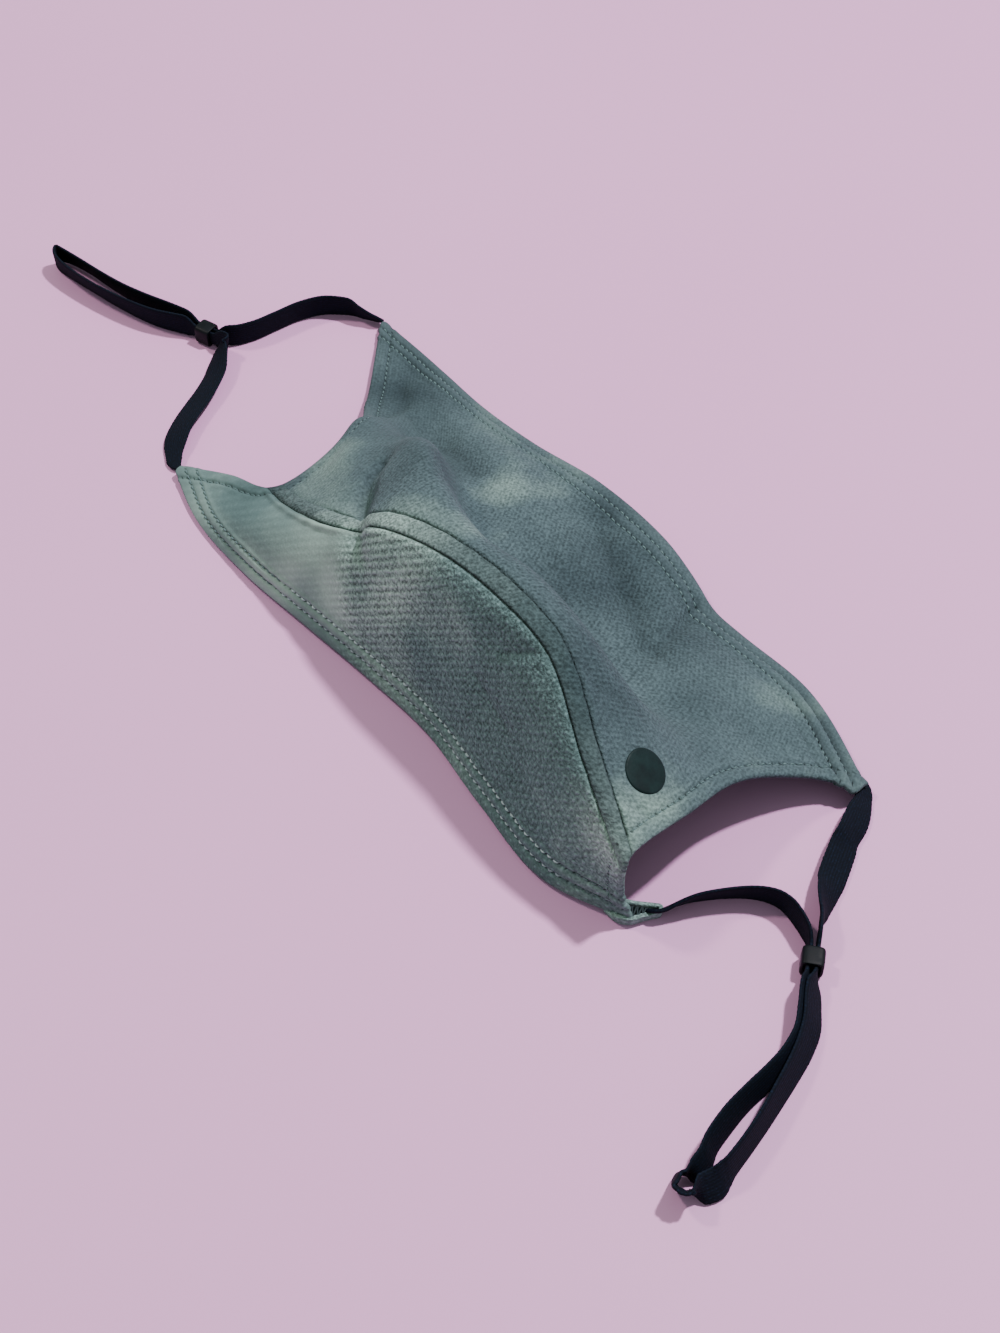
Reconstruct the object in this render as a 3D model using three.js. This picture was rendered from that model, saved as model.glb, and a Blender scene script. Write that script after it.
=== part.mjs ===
// A reusable cloth face mask lying open side down, with its ear loops spread beside it.
// A lower and an upper knit panel meet at a narrow seam band along the mask, and the front
// stands up as a soft dome. Each side has one flat elastic ear loop, gathered in a slider.
// Millimetres, +Z up, +X along the mask, -Y towards the chin hem.

import * as THREE from "three";

const clothThickness = 1.6;
const bandWidth = 5;
const seamGap = 0.5; // along the sections, between the band and the panel on each side of it
const restHeight = 0.7; // cloth whose underside is lower than this lies flat on the table

const elasticWidth = 7.5;
const elasticThickness = 1;
const elasticLift = 0.1; // clear of the table
const gatheredWidth = 3.8; // of the elastic inside a slider
const gatheredReach = 3.5; // how soon it is back to its full width
const sewnWidth = 4.6; // of the elastic where it is sewn to a corner of the cloth
const sewnReach = 5;
const slider = { length: 4.8, width: 6, height: 5.8, slotWidth: 3.4, slotHeight: 4.6, rounding: 0.9 };
const patch = { diameter: 10, thickness: 0.5, gap: 0.3, section: 7.45, line: 2.62 };

// The outer face of the cloth: a row per section, from the left side edge to the right one.
// The columns are lines that run along the mask, from the chin edge to the nose edge.
const lineNames = ["chin", "belly", "seam", "brow", "foot", "bridge", "nose"];
const sections = [
  { chin: [-90, -35, 1.8], belly: [-72, -29.5, 6.2], seam: [-57.5, -25, 11], brow: [-55, -3, 17.5],
    foot: [-73.5, 16, 6], bridge: [-90, 31, 2.6], nose: [-102.8, 42.6, 1.8] },
  { chin: [-69, -40.4, 0.8], belly: [-55, -35.4, 10.5], seam: [-42, -27.2, 18], brow: [-43.5, 1, 26],
    foot: [-55, 19, 8], bridge: [-67, 31, 4.5], nose: [-78.7, 42.7, 1.8] },
  { chin: [-46, -43.2, 0.8], belly: [-34, -36.4, 15.5], seam: [-24, -27.1, 27], brow: [-26, -1, 36.5],
    foot: [-33, 15, 14], bridge: [-45, 29, 9], nose: [-54.3, 41.7, 2.2] },
  { chin: [-22, -41.2, 0.8], belly: [-14, -35, 21.5], seam: [-7, -24.3, 39], brow: [-7.8, -10, 42.2],
    foot: [-11, 3.5, 17.6], bridge: [-22, 25, 13], nose: [-32.7, 42, 4.5] },
  { chin: [1, -39.2, 0.8], belly: [7, -33.4, 24.5], seam: [13.3, -22, 45.6], brow: [13.5, -17.2, 46],
    foot: [12, -3, 18], bridge: [0, 21, 14.5], nose: [-7.7, 43.5, 8.5] },
  { chin: [24, -38.3, 0.8], belly: [29, -32.7, 25.5], seam: [33.3, -21.3, 47.5], brow: [32.5, -15.6, 47.4],
    foot: [33, -1.5, 17.5], bridge: [24, 19, 14], nose: [17.3, 43.5, 8] },
  { chin: [48, -41.5, 0.8], belly: [50, -35, 25], seam: [51.3, -22.4, 46.4], brow: [51.5, -15.6, 44.6],
    foot: [52, -1.8, 16.5], bridge: [48, 19.5, 12.5], nose: [43.3, 40.5, 2.4] },
  { chin: [75, -43.3, 0.8], belly: [74, -39.4, 18.5], seam: [72.3, -29.8, 35.5], brow: [71.3, -16.2, 33.2],
    foot: [71.2, 2, 16.4], bridge: [71, 19, 12], nose: [74, 41, 1.8] },
  { chin: [95.5, -35, 1], belly: [93, -37, 10.5], seam: [93, -36.7, 22], brow: [91, -15.4, 20.5],
    foot: [89.5, 0.7, 17], bridge: [94, 16.6, 10], nose: [103.5, 30.4, 3.4] },
];

// Dents, and ridges where the depth is negative. Each runs from one [section, line] to another,
// and spreads by the left and right distances to the sides of that run.
const folds = [
  { from: [1.7, 2.75], to: [2.0, 2.3], left: 3, right: 7, depth: 2.2 }, // end of the dome
  { from: [2.0, 2.3], to: [2.6, 1.75], left: 3.5, right: 7, depth: 1.6 },
  { from: [2.6, 1.75], to: [3.3, 1.1], left: 5, right: 6, depth: 0.9 },
  { from: [0.75, 2.6], to: [0.25, 3.2], left: 5, right: 5, depth: -1.2 }, // ridge at the left end
  { from: [0.25, 3.2], to: [0.75, 4.0], left: 5, right: 5, depth: -1.2 },
  { from: [1.35, 3.0], to: [1.3, 4.3], left: 8, right: 8, depth: 2.2 }, // hollow beside it
  { from: [0.3, 4.6], to: [0.7, 5.2], left: 6, right: 6, depth: 1.2 },
  { from: [1.6, 4.3], to: [2.6, 4.6], left: 7, right: 7, depth: 1.4 },
  { from: [3.0, 5.3], to: [3.7, 4.3], left: 7, right: 7, depth: -1.2 },
  { from: [4.45, 5.5], to: [5.3, 5.1], left: 5, right: 7, depth: 1.5 }, // V dent of the upper panel
  { from: [5.3, 5.1], to: [5.8, 4.7], left: 5, right: 7, depth: 1.7 },
  { from: [5.85, 4.8], to: [5.8, 5.8], left: 5, right: 6, depth: 1.4 },
  { from: [6.8, 4.6], to: [7.3, 4.0], left: 6, right: 6, depth: -1.0 },
  { from: [6.6, 4.9], to: [7.6, 4.9], left: 6, right: 6, depth: 0.9 },
  { from: [5.3, 1.5], to: [6.1, 1.8], left: 4, right: 5, depth: 0.7 }, // creases of the lower panel
  { from: [5.6, 0.9], to: [6.7, 0.8], left: 5, right: 5, depth: 0.6 },
  { from: [2.4, 1.4], to: [2.9, 0.8], left: 5, right: 5, depth: 0.8 },
  { from: [7.1, 2.35], to: [7.8, 2.5], left: 3, right: 3, depth: 0.5 },
];

// The middle line of each elastic, from the nose corner through the slider, around the slack end
// and back through the slider to the chin corner. Lean is 0 where the elastic stands on its edge.
const leftRoute = [
  { x: -102.4, y: 41.2, lean: -32 }, { x: -106.5, y: 38.8, lean: -20 }, { x: -111.3, y: 36.3, lean: -9 },
  { x: -115.5, y: 31.5, lean: -6 }, { x: -117.6, y: 25, lean: -6 }, { x: -118.2, y: 17.3, lean: -6 },
  { x: -118.8, y: 9.8, lean: -4 }, { x: -120.4, y: 5, lean: -2 }, { x: -123.4, y: 2, lean: 0 },
  { x: -127.5, y: 0.5, lean: 0 }, { x: -131.6, y: -0.8, lean: 0 }, { x: -135.6, y: -2.1, lean: -2 },
  { x: -140, y: -3.6, lean: -5 }, { x: -147.2, y: -6.3, lean: -9 }, { x: -155.1, y: -8.7, lean: -14 },
  { x: -164.2, y: -10.6, lean: -18 }, { x: -173, y: -12, lean: -21 }, { x: -180.2, y: -13.7, lean: -18 },
  { x: -183, y: -15.6, lean: -6 }, { x: -180.3, y: -17.3, lean: 6 }, { x: -172.5, y: -16.9, lean: 18 },
  { x: -164, y: -15.4, lean: 21 }, { x: -156, y: -13.6, lean: 18 }, { x: -148, y: -11.3, lean: 14 },
  { x: -140.4, y: -8.3, lean: 9 }, { x: -135, y: -5, lean: 5 }, { x: -131, y: -2.5, lean: 0 },
  { x: -126.9, y: -1.1, lean: 0 }, { x: -122.9, y: 0.1, lean: -2 }, { x: -118.6, y: -1.8, lean: -22 },
  { x: -114.8, y: -5, lean: -33 }, { x: -111.3, y: -8.6, lean: -38 }, { x: -108.1, y: -13.3, lean: -47 },
  { x: -105.2, y: -18.4, lean: -62 }, { x: -102.2, y: -23.6, lean: -68 }, { x: -98.8, y: -28.3, lean: -68 },
  { x: -95, y: -32, lean: -70 }, { x: -91, y: -34.8, lean: -72 },
];
const rightRoute = [
  { x: 104.3, y: 30.2, lean: 10 }, { x: 105.7, y: 26.2, lean: 12 }, { x: 107.3, y: 22, lean: 27 },
  { x: 109.2, y: 17.6, lean: 45 }, { x: 111.3, y: 13.3, lean: 57 }, { x: 113.9, y: 8.5, lean: 60 },
  { x: 117.1, y: 3.1, lean: 43 }, { x: 120.4, y: -1.8, lean: 18 }, { x: 123.2, y: -5.4, lean: 2 },
  { x: 126.1, y: -8.9, lean: 0 }, { x: 128.7, y: -11.9, lean: 0 }, { x: 131.3, y: -15, lean: 0 },
  { x: 135.2, y: -19.7, lean: 5 }, { x: 138.5, y: -24, lean: 10 }, { x: 141.4, y: -28.6, lean: 13 },
  { x: 144.2, y: -34.3, lean: 14 }, { x: 146.5, y: -40.3, lean: 14 }, { x: 149.2, y: -47.3, lean: 14 },
  { x: 151.2, y: -54.7, lean: 12 }, { x: 152.7, y: -61.1, lean: 0 }, { x: 152.9, y: -66.2, lean: -20 },
  { x: 151.5, y: -69.8, lean: -35 }, { x: 148.9, y: -70.8, lean: -42 }, { x: 147.4, y: -68.9, lean: -42 },
  { x: 147.3, y: -66, lean: -36 }, { x: 147.1, y: -62.6, lean: -26 }, { x: 145.9, y: -58.6, lean: -15 },
  { x: 144.2, y: -53.2, lean: -9 }, { x: 142.5, y: -46.6, lean: -8 }, { x: 141.8, y: -39.2, lean: -8 },
  { x: 140.8, y: -32.6, lean: -7 }, { x: 138.8, y: -27, lean: -5 }, { x: 136, y: -22.6, lean: -3 },
  { x: 132.8, y: -19, lean: 0 }, { x: 129.9, y: -16, lean: 0 }, { x: 127.3, y: -13.1, lean: 0 },
  { x: 124.8, y: -10, lean: 0 }, { x: 121.2, y: -8.3, lean: 2 }, { x: 117.4, y: -7.3, lean: 3 },
  { x: 113.6, y: -7.1, lean: -2 }, { x: 110.2, y: -8.4, lean: -8 }, { x: 106.6, y: -11.6, lean: -14 },
  { x: 103.3, y: -16.2, lean: -18 }, { x: 100.8, y: -20.6, lean: -21 }, { x: 99, y: -24.8, lean: -26 },
  { x: 97.6, y: -29, lean: -31 }, { x: 96.5, y: -33.1, lean: -24 },
];
const sliderSites = {
  left: { x: -127.2, y: -0.3, heading: 198 },
  right: { x: 128, y: -12.5, heading: -50 },
};

// Smooth curves through the sections and then through the lines, and the point where they cross.
const lineCurves = lineNames.map((name) => {
  return curveThrough(sections.map((row) => new THREE.Vector3(...row[name])));
});

function curveThrough(points) {
  return new THREE.CatmullRomCurve3(points, false, "chordal");
}

function smoothPoint(section, line) {
  const along = THREE.MathUtils.clamp(section / (sections.length - 1), 0, 1);
  const across = THREE.MathUtils.clamp(line / (lineNames.length - 1), 0, 1);
  return curveThrough(lineCurves.map((curve) => curve.getPoint(along))).getPoint(across);
}

// The direction out of the cloth, from two short steps over the face.
function outward(face, section, line) {
  const step = 0.02;
  const along = face(section + step, line).sub(face(section - step, line));
  const across = face(section, line + step).sub(face(section, line - step));
  return along.cross(across).normalize();
}

const foldRuns = folds.map((fold) => {
  const start = smoothPoint(...fold.from);
  const run = smoothPoint(...fold.to).sub(start);
  return { ...fold, start, run };
});

// The outer face with its folds: each pushes the cloth in by its depth, fading with the square
// of the distance from its run.
function clothPoint(section, line) {
  const point = smoothPoint(section, line);
  const normal = outward(smoothPoint, section, line);
  let push = 0;
  for (const fold of foldRuns) {
    const reach = point.clone().sub(fold.start);
    const share = THREE.MathUtils.clamp(reach.dot(fold.run) / fold.run.lengthSq(), 0, 1);
    reach.addScaledVector(fold.run, -share);
    const distance = reach.length() + 1e-6;
    const side = fold.run.clone().cross(reach).dot(normal) / (fold.run.length() * distance);
    const spread = THREE.MathUtils.lerp(fold.right, fold.left, (side + 1) / 2);
    push += fold.depth * Math.exp(-((distance / spread) ** 2));
  }
  return point.addScaledVector(normal, -push);
}

// The line index that lies a given length of cloth from the seam, towards the nose if positive.
function lineFromSeam(section, length) {
  const step = 0.02 * Math.sign(length);
  let line = lineNames.indexOf("seam");
  let left = Math.abs(length);
  let before = smoothPoint(section, line);
  while (left > 0) {
    const after = smoothPoint(section, line + step);
    const travelled = after.distanceTo(before);
    line += step * Math.min(1, left / travelled);
    left -= travelled;
    before = after;
  }
  return line;
}

// A closed solid through rings of points. Each ring lists one long side and then the other side
// backwards, so a strip of quads between the two sides closes each end.
function loft(rings) {
  const count = rings[0].length;
  const positions = rings.flat().flatMap((point) => point.toArray());
  const faces = [];
  const quad = (a, b, c, d) => faces.push(a, b, c, a, c, d);
  for (let ring = 0; ring + 1 < rings.length; ring += 1) {
    for (let k = 0; k < count; k += 1) {
      const next = (k + 1) % count;
      quad(ring * count + k, (ring + 1) * count + k, (ring + 1) * count + next, ring * count + next);
    }
  }
  const last = (rings.length - 1) * count;
  for (let k = 0; k + 1 < count / 2; k += 1) {
    quad(k, k + 1, count - 2 - k, count - 1 - k);
    quad(last + k, last + count - 1 - k, last + count - 2 - k, last + k + 1);
  }
  const geometry = new THREE.BufferGeometry();
  geometry.setAttribute("position", new THREE.Float32BufferAttribute(positions, 3));
  geometry.setIndex(faces);
  geometry.computeVertexNormals();
  return geometry;
}

// A piece of the cloth between two lines: its outer face, and an inner face one cloth thickness
// in, laid flat where it is low enough to rest on the table.
function clothGeometry(lowerLine, upperLine, columns, rows) {
  const rings = [];
  for (let column = 0; column <= columns; column += 1) {
    const section = ((sections.length - 1) * column) / columns;
    const from = lowerLine(section);
    const to = upperLine(section);
    const outer = [];
    const inner = [];
    for (let row = 0; row <= rows; row += 1) {
      const line = from + ((to - from) * row) / rows;
      const point = clothPoint(section, line);
      outer.push(point);
      const under = point.clone().addScaledVector(outward(clothPoint, section, line), -clothThickness);
      if (under.z < restHeight) {
        under.z = 0;
      }
      inner.unshift(under);
    }
    rings.push([...outer, ...inner]);
  }
  return loft(rings);
}

// A flat elastic with a ring at each point of its route. It stands on its edge or leans over, just
// clear of the table. It is gathered at its sewn ends, and in the slider, which holds it up.
function elasticGeometry(route, site) {
  const closeness = (distance, reach) => Math.exp(-((Math.max(0, distance) / reach) ** 2));
  const sewnSpots = [route[0], route[route.length - 1]];
  const profile = [[1, -0.7], [0.9, -1], [-0.9, -1], [-1, -0.7], [-1, 0.7], [-0.9, 1], [0.9, 1], [1, 0.7]];
  const rings = route.map(({ x, y, lean }, index) => {
    const ahead = route[Math.min(index + 1, route.length - 1)];
    const behind = route[Math.max(index - 1, 0)];
    const tangent = new THREE.Vector3(ahead.x - behind.x, ahead.y - behind.y, 0).normalize();
    const side = new THREE.Vector3(tangent.y, -tangent.x, 0);
    const angle = THREE.MathUtils.degToRad(lean);
    const upwards = new THREE.Vector3(0, 0, Math.cos(angle)).addScaledVector(side, Math.sin(angle));
    const through = tangent.clone().cross(upwards);
    const fromSlider = Math.hypot(x - site.x, y - site.y) - slider.length;
    const fromSewn = Math.min(...sewnSpots.map((spot) => Math.hypot(x - spot.x, y - spot.y)));
    const gathered = closeness(fromSlider, gatheredReach);
    const free = THREE.MathUtils.lerp(elasticWidth, sewnWidth, closeness(fromSewn, sewnReach));
    const halfWidth = THREE.MathUtils.lerp(free, gatheredWidth, gathered) / 2;
    const raised = gathered * (slider.height - gatheredWidth) / 2;
    const leant = halfWidth * Math.cos(angle) + (elasticThickness / 2) * Math.abs(Math.sin(angle));
    const centre = new THREE.Vector3(x, y, elasticLift + leant + raised);
    return profile.map(([across, out]) => centre.clone()
      .addScaledVector(upwards, across * halfWidth)
      .addScaledVector(through, (out * elasticThickness) / 2));
  });
  return loft(rings);
}

// A rounded block with a slot through it, standing where the elastic passes.
function sliderGeometry() {
  const rectangle = (path, width, height, radius) => {
    const [x, y] = [width / 2, height / 2];
    path.moveTo(-x + radius, -y);
    path.absarc(x - radius, -y + radius, radius, -Math.PI / 2, 0);
    path.absarc(x - radius, y - radius, radius, 0, Math.PI / 2);
    path.absarc(-x + radius, y - radius, radius, Math.PI / 2, Math.PI);
    path.absarc(-x + radius, -y + radius, radius, Math.PI, Math.PI * 1.5);
    path.closePath();
    return path;
  };
  const outline = rectangle(new THREE.Shape(), slider.width, slider.height, slider.rounding);
  outline.holes.push(rectangle(new THREE.Path(), slider.slotWidth, slider.slotHeight, 0.4));
  const settings = { depth: slider.length, bevelEnabled: false, curveSegments: 4 };
  const geometry = new THREE.ExtrudeGeometry(outline, settings);
  geometry.translate(0, 0, -slider.length / 2);
  geometry.rotateX(Math.PI / 2);
  return geometry;
}

const mask = new THREE.Group();

function addMesh(name, geometry, colour, roughness) {
  const material = new THREE.MeshStandardMaterial({ color: colour, roughness, metalness: 0 });
  const mesh = new THREE.Mesh(geometry, material);
  mesh.name = name;
  mask.add(mesh);
  return mesh;
}

const halfBand = bandWidth / 2;
const chinLine = () => 0;
const noseLine = () => lineNames.length - 1;
const bandLine = (length) => (section) => lineFromSeam(section, length);
addMesh("lower_panel", clothGeometry(chinLine, bandLine(-halfBand - seamGap), 48, 8), "#6d7f7b", 0.9);
addMesh("seam_band", clothGeometry(bandLine(-halfBand), bandLine(halfBand), 48, 2), "#93aaa3", 0.85);
addMesh("upper_panel", clothGeometry(bandLine(halfBand + seamGap), noseLine, 48, 18), "#5d7276", 0.9);

addMesh("ear_loop_left", elasticGeometry(leftRoute, sliderSites.left), "#1c2433", 0.8);
addMesh("ear_loop_right", elasticGeometry(rightRoute, sliderSites.right), "#1c2433", 0.8);

for (const [hand, site] of Object.entries(sliderSites)) {
  const block = addMesh(`slider_${hand}`, sliderGeometry(), "#222f33", 0.5);
  block.position.set(site.x, site.y, elasticLift + slider.height / 2);
  block.rotation.z = THREE.MathUtils.degToRad(site.heading - 90);
}

// The printed disc lies on the cloth beside the band, near the right side edge.
const patchNormal = outward(clothPoint, patch.section, patch.line);
const disc = addMesh("round_patch", new THREE.CylinderGeometry(patch.diameter / 2, patch.diameter / 2,
  patch.thickness, 32), "#1f3330", 0.6);
disc.position.copy(clothPoint(patch.section, patch.line))
  .addScaledVector(patchNormal, patch.gap + patch.thickness / 2);
disc.quaternion.setFromUnitVectors(new THREE.Vector3(0, 1, 0), patchNormal);

export default mask;
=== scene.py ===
import bpy
import numpy as np
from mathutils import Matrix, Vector


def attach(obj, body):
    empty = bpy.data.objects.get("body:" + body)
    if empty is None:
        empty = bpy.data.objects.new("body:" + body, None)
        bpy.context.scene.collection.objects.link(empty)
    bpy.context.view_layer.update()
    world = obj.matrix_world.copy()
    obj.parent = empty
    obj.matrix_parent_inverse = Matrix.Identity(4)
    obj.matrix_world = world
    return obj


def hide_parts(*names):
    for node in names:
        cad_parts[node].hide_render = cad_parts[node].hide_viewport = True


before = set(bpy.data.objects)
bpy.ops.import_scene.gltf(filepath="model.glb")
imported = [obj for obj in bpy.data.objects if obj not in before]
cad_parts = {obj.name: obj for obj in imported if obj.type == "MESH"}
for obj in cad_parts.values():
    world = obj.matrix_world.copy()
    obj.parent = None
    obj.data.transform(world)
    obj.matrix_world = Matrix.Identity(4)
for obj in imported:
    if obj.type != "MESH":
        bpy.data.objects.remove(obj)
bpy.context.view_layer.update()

mm = 0.001


def linear(hexColour):
    # sRGB hex to linear: c / 12.92 below 0.04045, else ((c + 0.055) / 1.055) ^ 2.4
    c = np.array([int(hexColour[i:i + 2], 16) / 255 for i in (1, 3, 5)])
    c = np.where(c <= 0.04045, c / 12.92, ((c + 0.055) / 1.055) ** 2.4)
    return (*c, 1.0)


def setInputs(node, inputs):
    # each input, by its name or its number, is a value or another node's socket
    for key, value in inputs.items():
        if isinstance(value, bpy.types.NodeSocket):
            node.id_data.links.new(value, node.inputs[key])
        else:
            node.inputs[key].default_value = value


def addNode(tree, kind, inputs=(), output=0, stops=(), **settings):
    # one node with its settings; its inputs are named or in order, and a colour ramp goes through
    # (position, hex) stops
    node = tree.nodes.new("ShaderNode" + kind)
    for key, value in settings.items():
        setattr(node, key, value)
    setInputs(node, inputs if isinstance(inputs, dict) else dict(enumerate(inputs)))
    if stops:
        elements = node.color_ramp.elements
        while len(elements) < len(stops):
            elements.new(0.5)
        for element, (position, colour) in zip(elements, stops):
            element.position = position
            element.color = linear(colour)
    return node.outputs[output]


def ripple(tree, coordinate, period):
    # cos(2 pi x / period)
    angle = addNode(tree, "Math", (coordinate, 2 * np.pi / period), operation="MULTIPLY")
    return addNode(tree, "Math", (angle,), operation="COSINE")


def uvSplit(tree, layer):
    # a UV layer in mm, whole and as its two coordinates
    uv = addNode(tree, "UVMap", uv_map=layer)
    split = addNode(tree, "SeparateXYZ", (uv,)).node
    return uv, split.outputs[0], split.outputs[1]


def newMaterial(name):
    # a new material, its node tree and its shader
    material = bpy.data.materials.new(name)
    material.use_nodes = True
    return material, material.node_tree, material.node_tree.nodes["Principled BSDF"]


def isInsideOut(points, quads):
    # whether a closed shape's signed volume, the sum of a . (b x c) / 6 over its triangles, is
    # negative, so that its faces have to be turned round
    volume = 0
    for corners in (quads[:, [0, 1, 2]], quads[:, [0, 2, 3]]):
        a, b, c = (points[corners[:, k]] for k in range(3))
        volume += np.sum(a * np.cross(b, c)) / 6
    return volume < 0


def facingOut(points, quads):
    # the faces as lists, turned round if the shape is inside out
    return (quads[:, ::-1] if isInsideOut(points, quads) else quads).tolist()


def makePiece(name, points, faces, material, uvs=None, values=None):
    # points in mm, faces as lists of point numbers; uvs and values are given per point, or a value
    # as one number for them all
    mesh = bpy.data.meshes.new(name)
    points = np.asarray(points, float).reshape(-1, 3)
    mesh.from_pydata(points * mm, [], faces)
    loopVertex = np.empty(len(mesh.loops), np.int32)
    mesh.loops.foreach_get("vertex_index", loopVertex)
    for layerName, uv in (uvs or {}).items():
        layer = mesh.uv_layers.new(name=layerName)
        layer.data.foreach_set("uv", np.asarray(uv, np.float32).reshape(-1, 2)[loopVertex].ravel())
    for valueName, value in (values or {}).items():
        layer = mesh.attributes.new(valueName, "FLOAT", "POINT")
        layer.data.foreach_set("value", np.zeros(len(points), np.float32) + np.float32(value).ravel())
    mesh.polygons.foreach_set("use_smooth", np.ones(len(mesh.polygons), bool))
    mesh.materials.append(material)
    mesh.update()
    piece = bpy.data.objects.new(name, mesh)
    bpy.context.scene.collection.objects.link(piece)
    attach(piece, "root")  # the only body
    return piece


def gridFaces(columns, rows, wrapColumns=False, wrapRows=False):
    # quads of a columns x rows grid, point index = column * rows + row
    i = np.arange(columns if wrapColumns else columns - 1)[:, None]
    j = np.arange(rows if wrapRows else rows - 1)[None, :]
    corners = [(i, j), (i + 1, j), (i + 1, j + 1), (i, j + 1)]
    return np.stack([(a % columns) * rows + b % rows for a, b in corners], -1).reshape(-1, 4)


def unit(v):
    # each vector over its length
    return v / np.maximum(np.linalg.norm(v, axis=-1, keepdims=True), 1e-9)


def curveThrough(points, t):
    # Catmull-Rom through points (..., k, 3) at index t (..., m), knots spaced by the chords,
    # each end reflected: cubic Hermite whose tangents weigh the two chords by their lengths
    first = 2 * points[..., :1, :] - points[..., 1:2, :]
    last = 2 * points[..., -1:, :] - points[..., -2:-1, :]
    p = np.concatenate([first, points, last], axis=-2)
    chord = np.linalg.norm(np.diff(p, axis=-2), axis=-1, keepdims=True)
    start = np.clip(np.floor(t).astype(int), 0, points.shape[-2] - 2)
    s = (t - start)[..., None]
    a, b, c, d = (np.take_along_axis(p, (start + k)[..., None], axis=-2) for k in range(4))
    g0, g1, g2 = (np.take_along_axis(chord, (start + k)[..., None], axis=-2) for k in range(3))
    into = ((b - a) / g0 - (c - a) / (g0 + g1) + (c - b) / g1) * g1
    outOf = ((c - b) / g1 - (d - b) / (g1 + g2) + (d - c) / g2) * g1
    return b + s * into + s ** 2 * (3 * (c - b) - 2 * into - outOf) + s ** 3 * (2 * (b - c) + into + outOf)


def travelled(points):
    # length along each line of points from its first one
    steps = np.linalg.norm(np.diff(points, axis=0), axis=-1)
    return np.concatenate([np.zeros((1, *steps.shape[1:])), np.cumsum(steps, axis=0)])


def bell(distance, width):
    # exp(-(d / width)^2)
    return np.exp(-(distance / width) ** 2)


def edge(distance, softness):
    # 1 before the place, 0 past it: 1 / (1 + exp(d / softness))
    return 1 / (1 + np.exp(np.clip(distance / softness, -60, 60)))


def circle(count):
    # angles all the way round, the last one a step before the first
    return np.linspace(0, 2 * np.pi, count, endpoint=False)


def squared(angle, power):
    # cosine and sine of a superellipse: the sign of each times its size to the power
    return tuple(np.sign(f(angle)) * np.abs(f(angle)) ** power for f in (np.cos, np.sin))


def levelSide(spot):
    # the level direction beside a path seen from above: (ty, -tx, 0) of its unit tangent t
    tangent = unit(np.gradient(spot[:, :2], axis=0))
    return np.column_stack([tangent[:, 1], -tangent[:, 0], np.zeros(len(spot))])


def closedTube(points, count, around):
    # faces that join count rings of points to each other, and a fan that closes each end round its
    # middle point: the two middle points come after all the rings
    k = np.arange(around)
    tip = count * around
    caps = np.concatenate([
        np.stack([np.full(around, tip), k, (k + 1) % around], -1),
        np.stack([np.full(around, tip + 1), tip - around + (k + 1) % around, tip - around + k], -1)])
    quads = gridFaces(count, around, wrapRows=True)
    if isInsideOut(points, np.concatenate([quads, caps[:, [0, 1, 2, 2]]])):
        return quads[:, ::-1], caps[:, ::-1]
    return quads, caps


def tubePiece(name, rings, material, uvs=None, values=None):
    # rings of points joined one to the next, closed at both ends round their middle points
    points = np.concatenate([rings.reshape(-1, 3), rings[[0, -1]].mean(axis=1)])
    quads, caps = closedTube(points, *rings.shape[:2])
    return makePiece(name, points, quads.tolist() + caps.tolist(), material, uvs, values)


view = {"aim": (18.8, -11.4, 0.0), "azimuth": 51.17, "elevation": 50.0, "distance": 490.0, "lens": 54.0}
azimuth, elevation = np.radians(view["azimuth"]), np.radians(view["elevation"])
towardsCamera = np.array([np.sin(azimuth) * np.cos(elevation), -np.cos(azimuth) * np.cos(elevation),
                          np.sin(elevation)])
camera = bpy.data.objects.new("camera", bpy.data.cameras.new("camera"))
camera.data.lens = view["lens"]
camera.data.sensor_width = 36
camera.location = Vector((np.array(view["aim"]) + view["distance"] * towardsCamera) * mm)
camera.rotation_euler = Vector(towardsCamera).to_track_quat("Z", "Y").to_euler()
bpy.context.scene.collection.objects.link(camera)
bpy.context.scene.camera = camera
print("camera placed")

# flat elastic: gathered in the slider and near its sewn ends, with small loops along both edges
elastic = {"width": 7.5, "thickness": 1.0, "lift": 0.1, "gathered": 3.9, "gatheredReach": 2.4,
           "sewn": 4.6, "sewnReach": 5.0, "perPoint": 12, "around": 28, "loopGap": 1.3, "loopRise": 0.05}
# rounding is the power of its superellipses; the elastic stays gathered for "hold" of its length
slider = {"length": 4.7, "width": 5.3, "height": 5.6, "slotWidth": 3.4, "slotHeight": 4.5,
          "rounding": 0.42, "hold": 0.62, "around": 96, "wallAround": 28}
sliderSites = {"left": (-127.2, -0.3, 198.0), "right": (128.0, -12.5, -50.0)}  # x, y, heading

# the middle line of each elastic: x, y and how far it leans over, in degrees
leftRoute = [
    (-102.4, 41.2, -32), (-106.5, 38.8, -20), (-111.3, 36.3, -9), (-115.5, 31.5, -6), (-117.6, 25, -6),
    (-118.2, 17.3, -6), (-118.8, 9.8, -4), (-120.4, 5, -2), (-123.4, 2, 0), (-127.5, 0.5, 0),
    (-131.6, -0.8, 0), (-135.6, -2.1, -2), (-140, -3.6, -5), (-147.2, -6.3, -9), (-155.1, -8.7, -14),
    (-164.2, -10.6, -18), (-173, -12, -21), (-180.2, -13.7, -18), (-183, -15.6, -6), (-180.3, -17.3, 6),
    (-172.5, -16.9, 18), (-164, -15.4, 21), (-156, -13.6, 18), (-148, -11.3, 14), (-140.4, -8.3, 9),
    (-135, -5, 5), (-131, -2.5, 0), (-126.9, -1.1, 0), (-122.9, 0.1, -2), (-118.6, -1.8, -32),
    (-114.8, -5, -52), (-111.3, -8.6, -62), (-108.1, -13.3, -66), (-105.2, -18.4, -69),
    (-102.2, -23.6, -68), (-98.8, -28.3, -68), (-95, -32, -70), (-91, -34.8, -72)]
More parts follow.
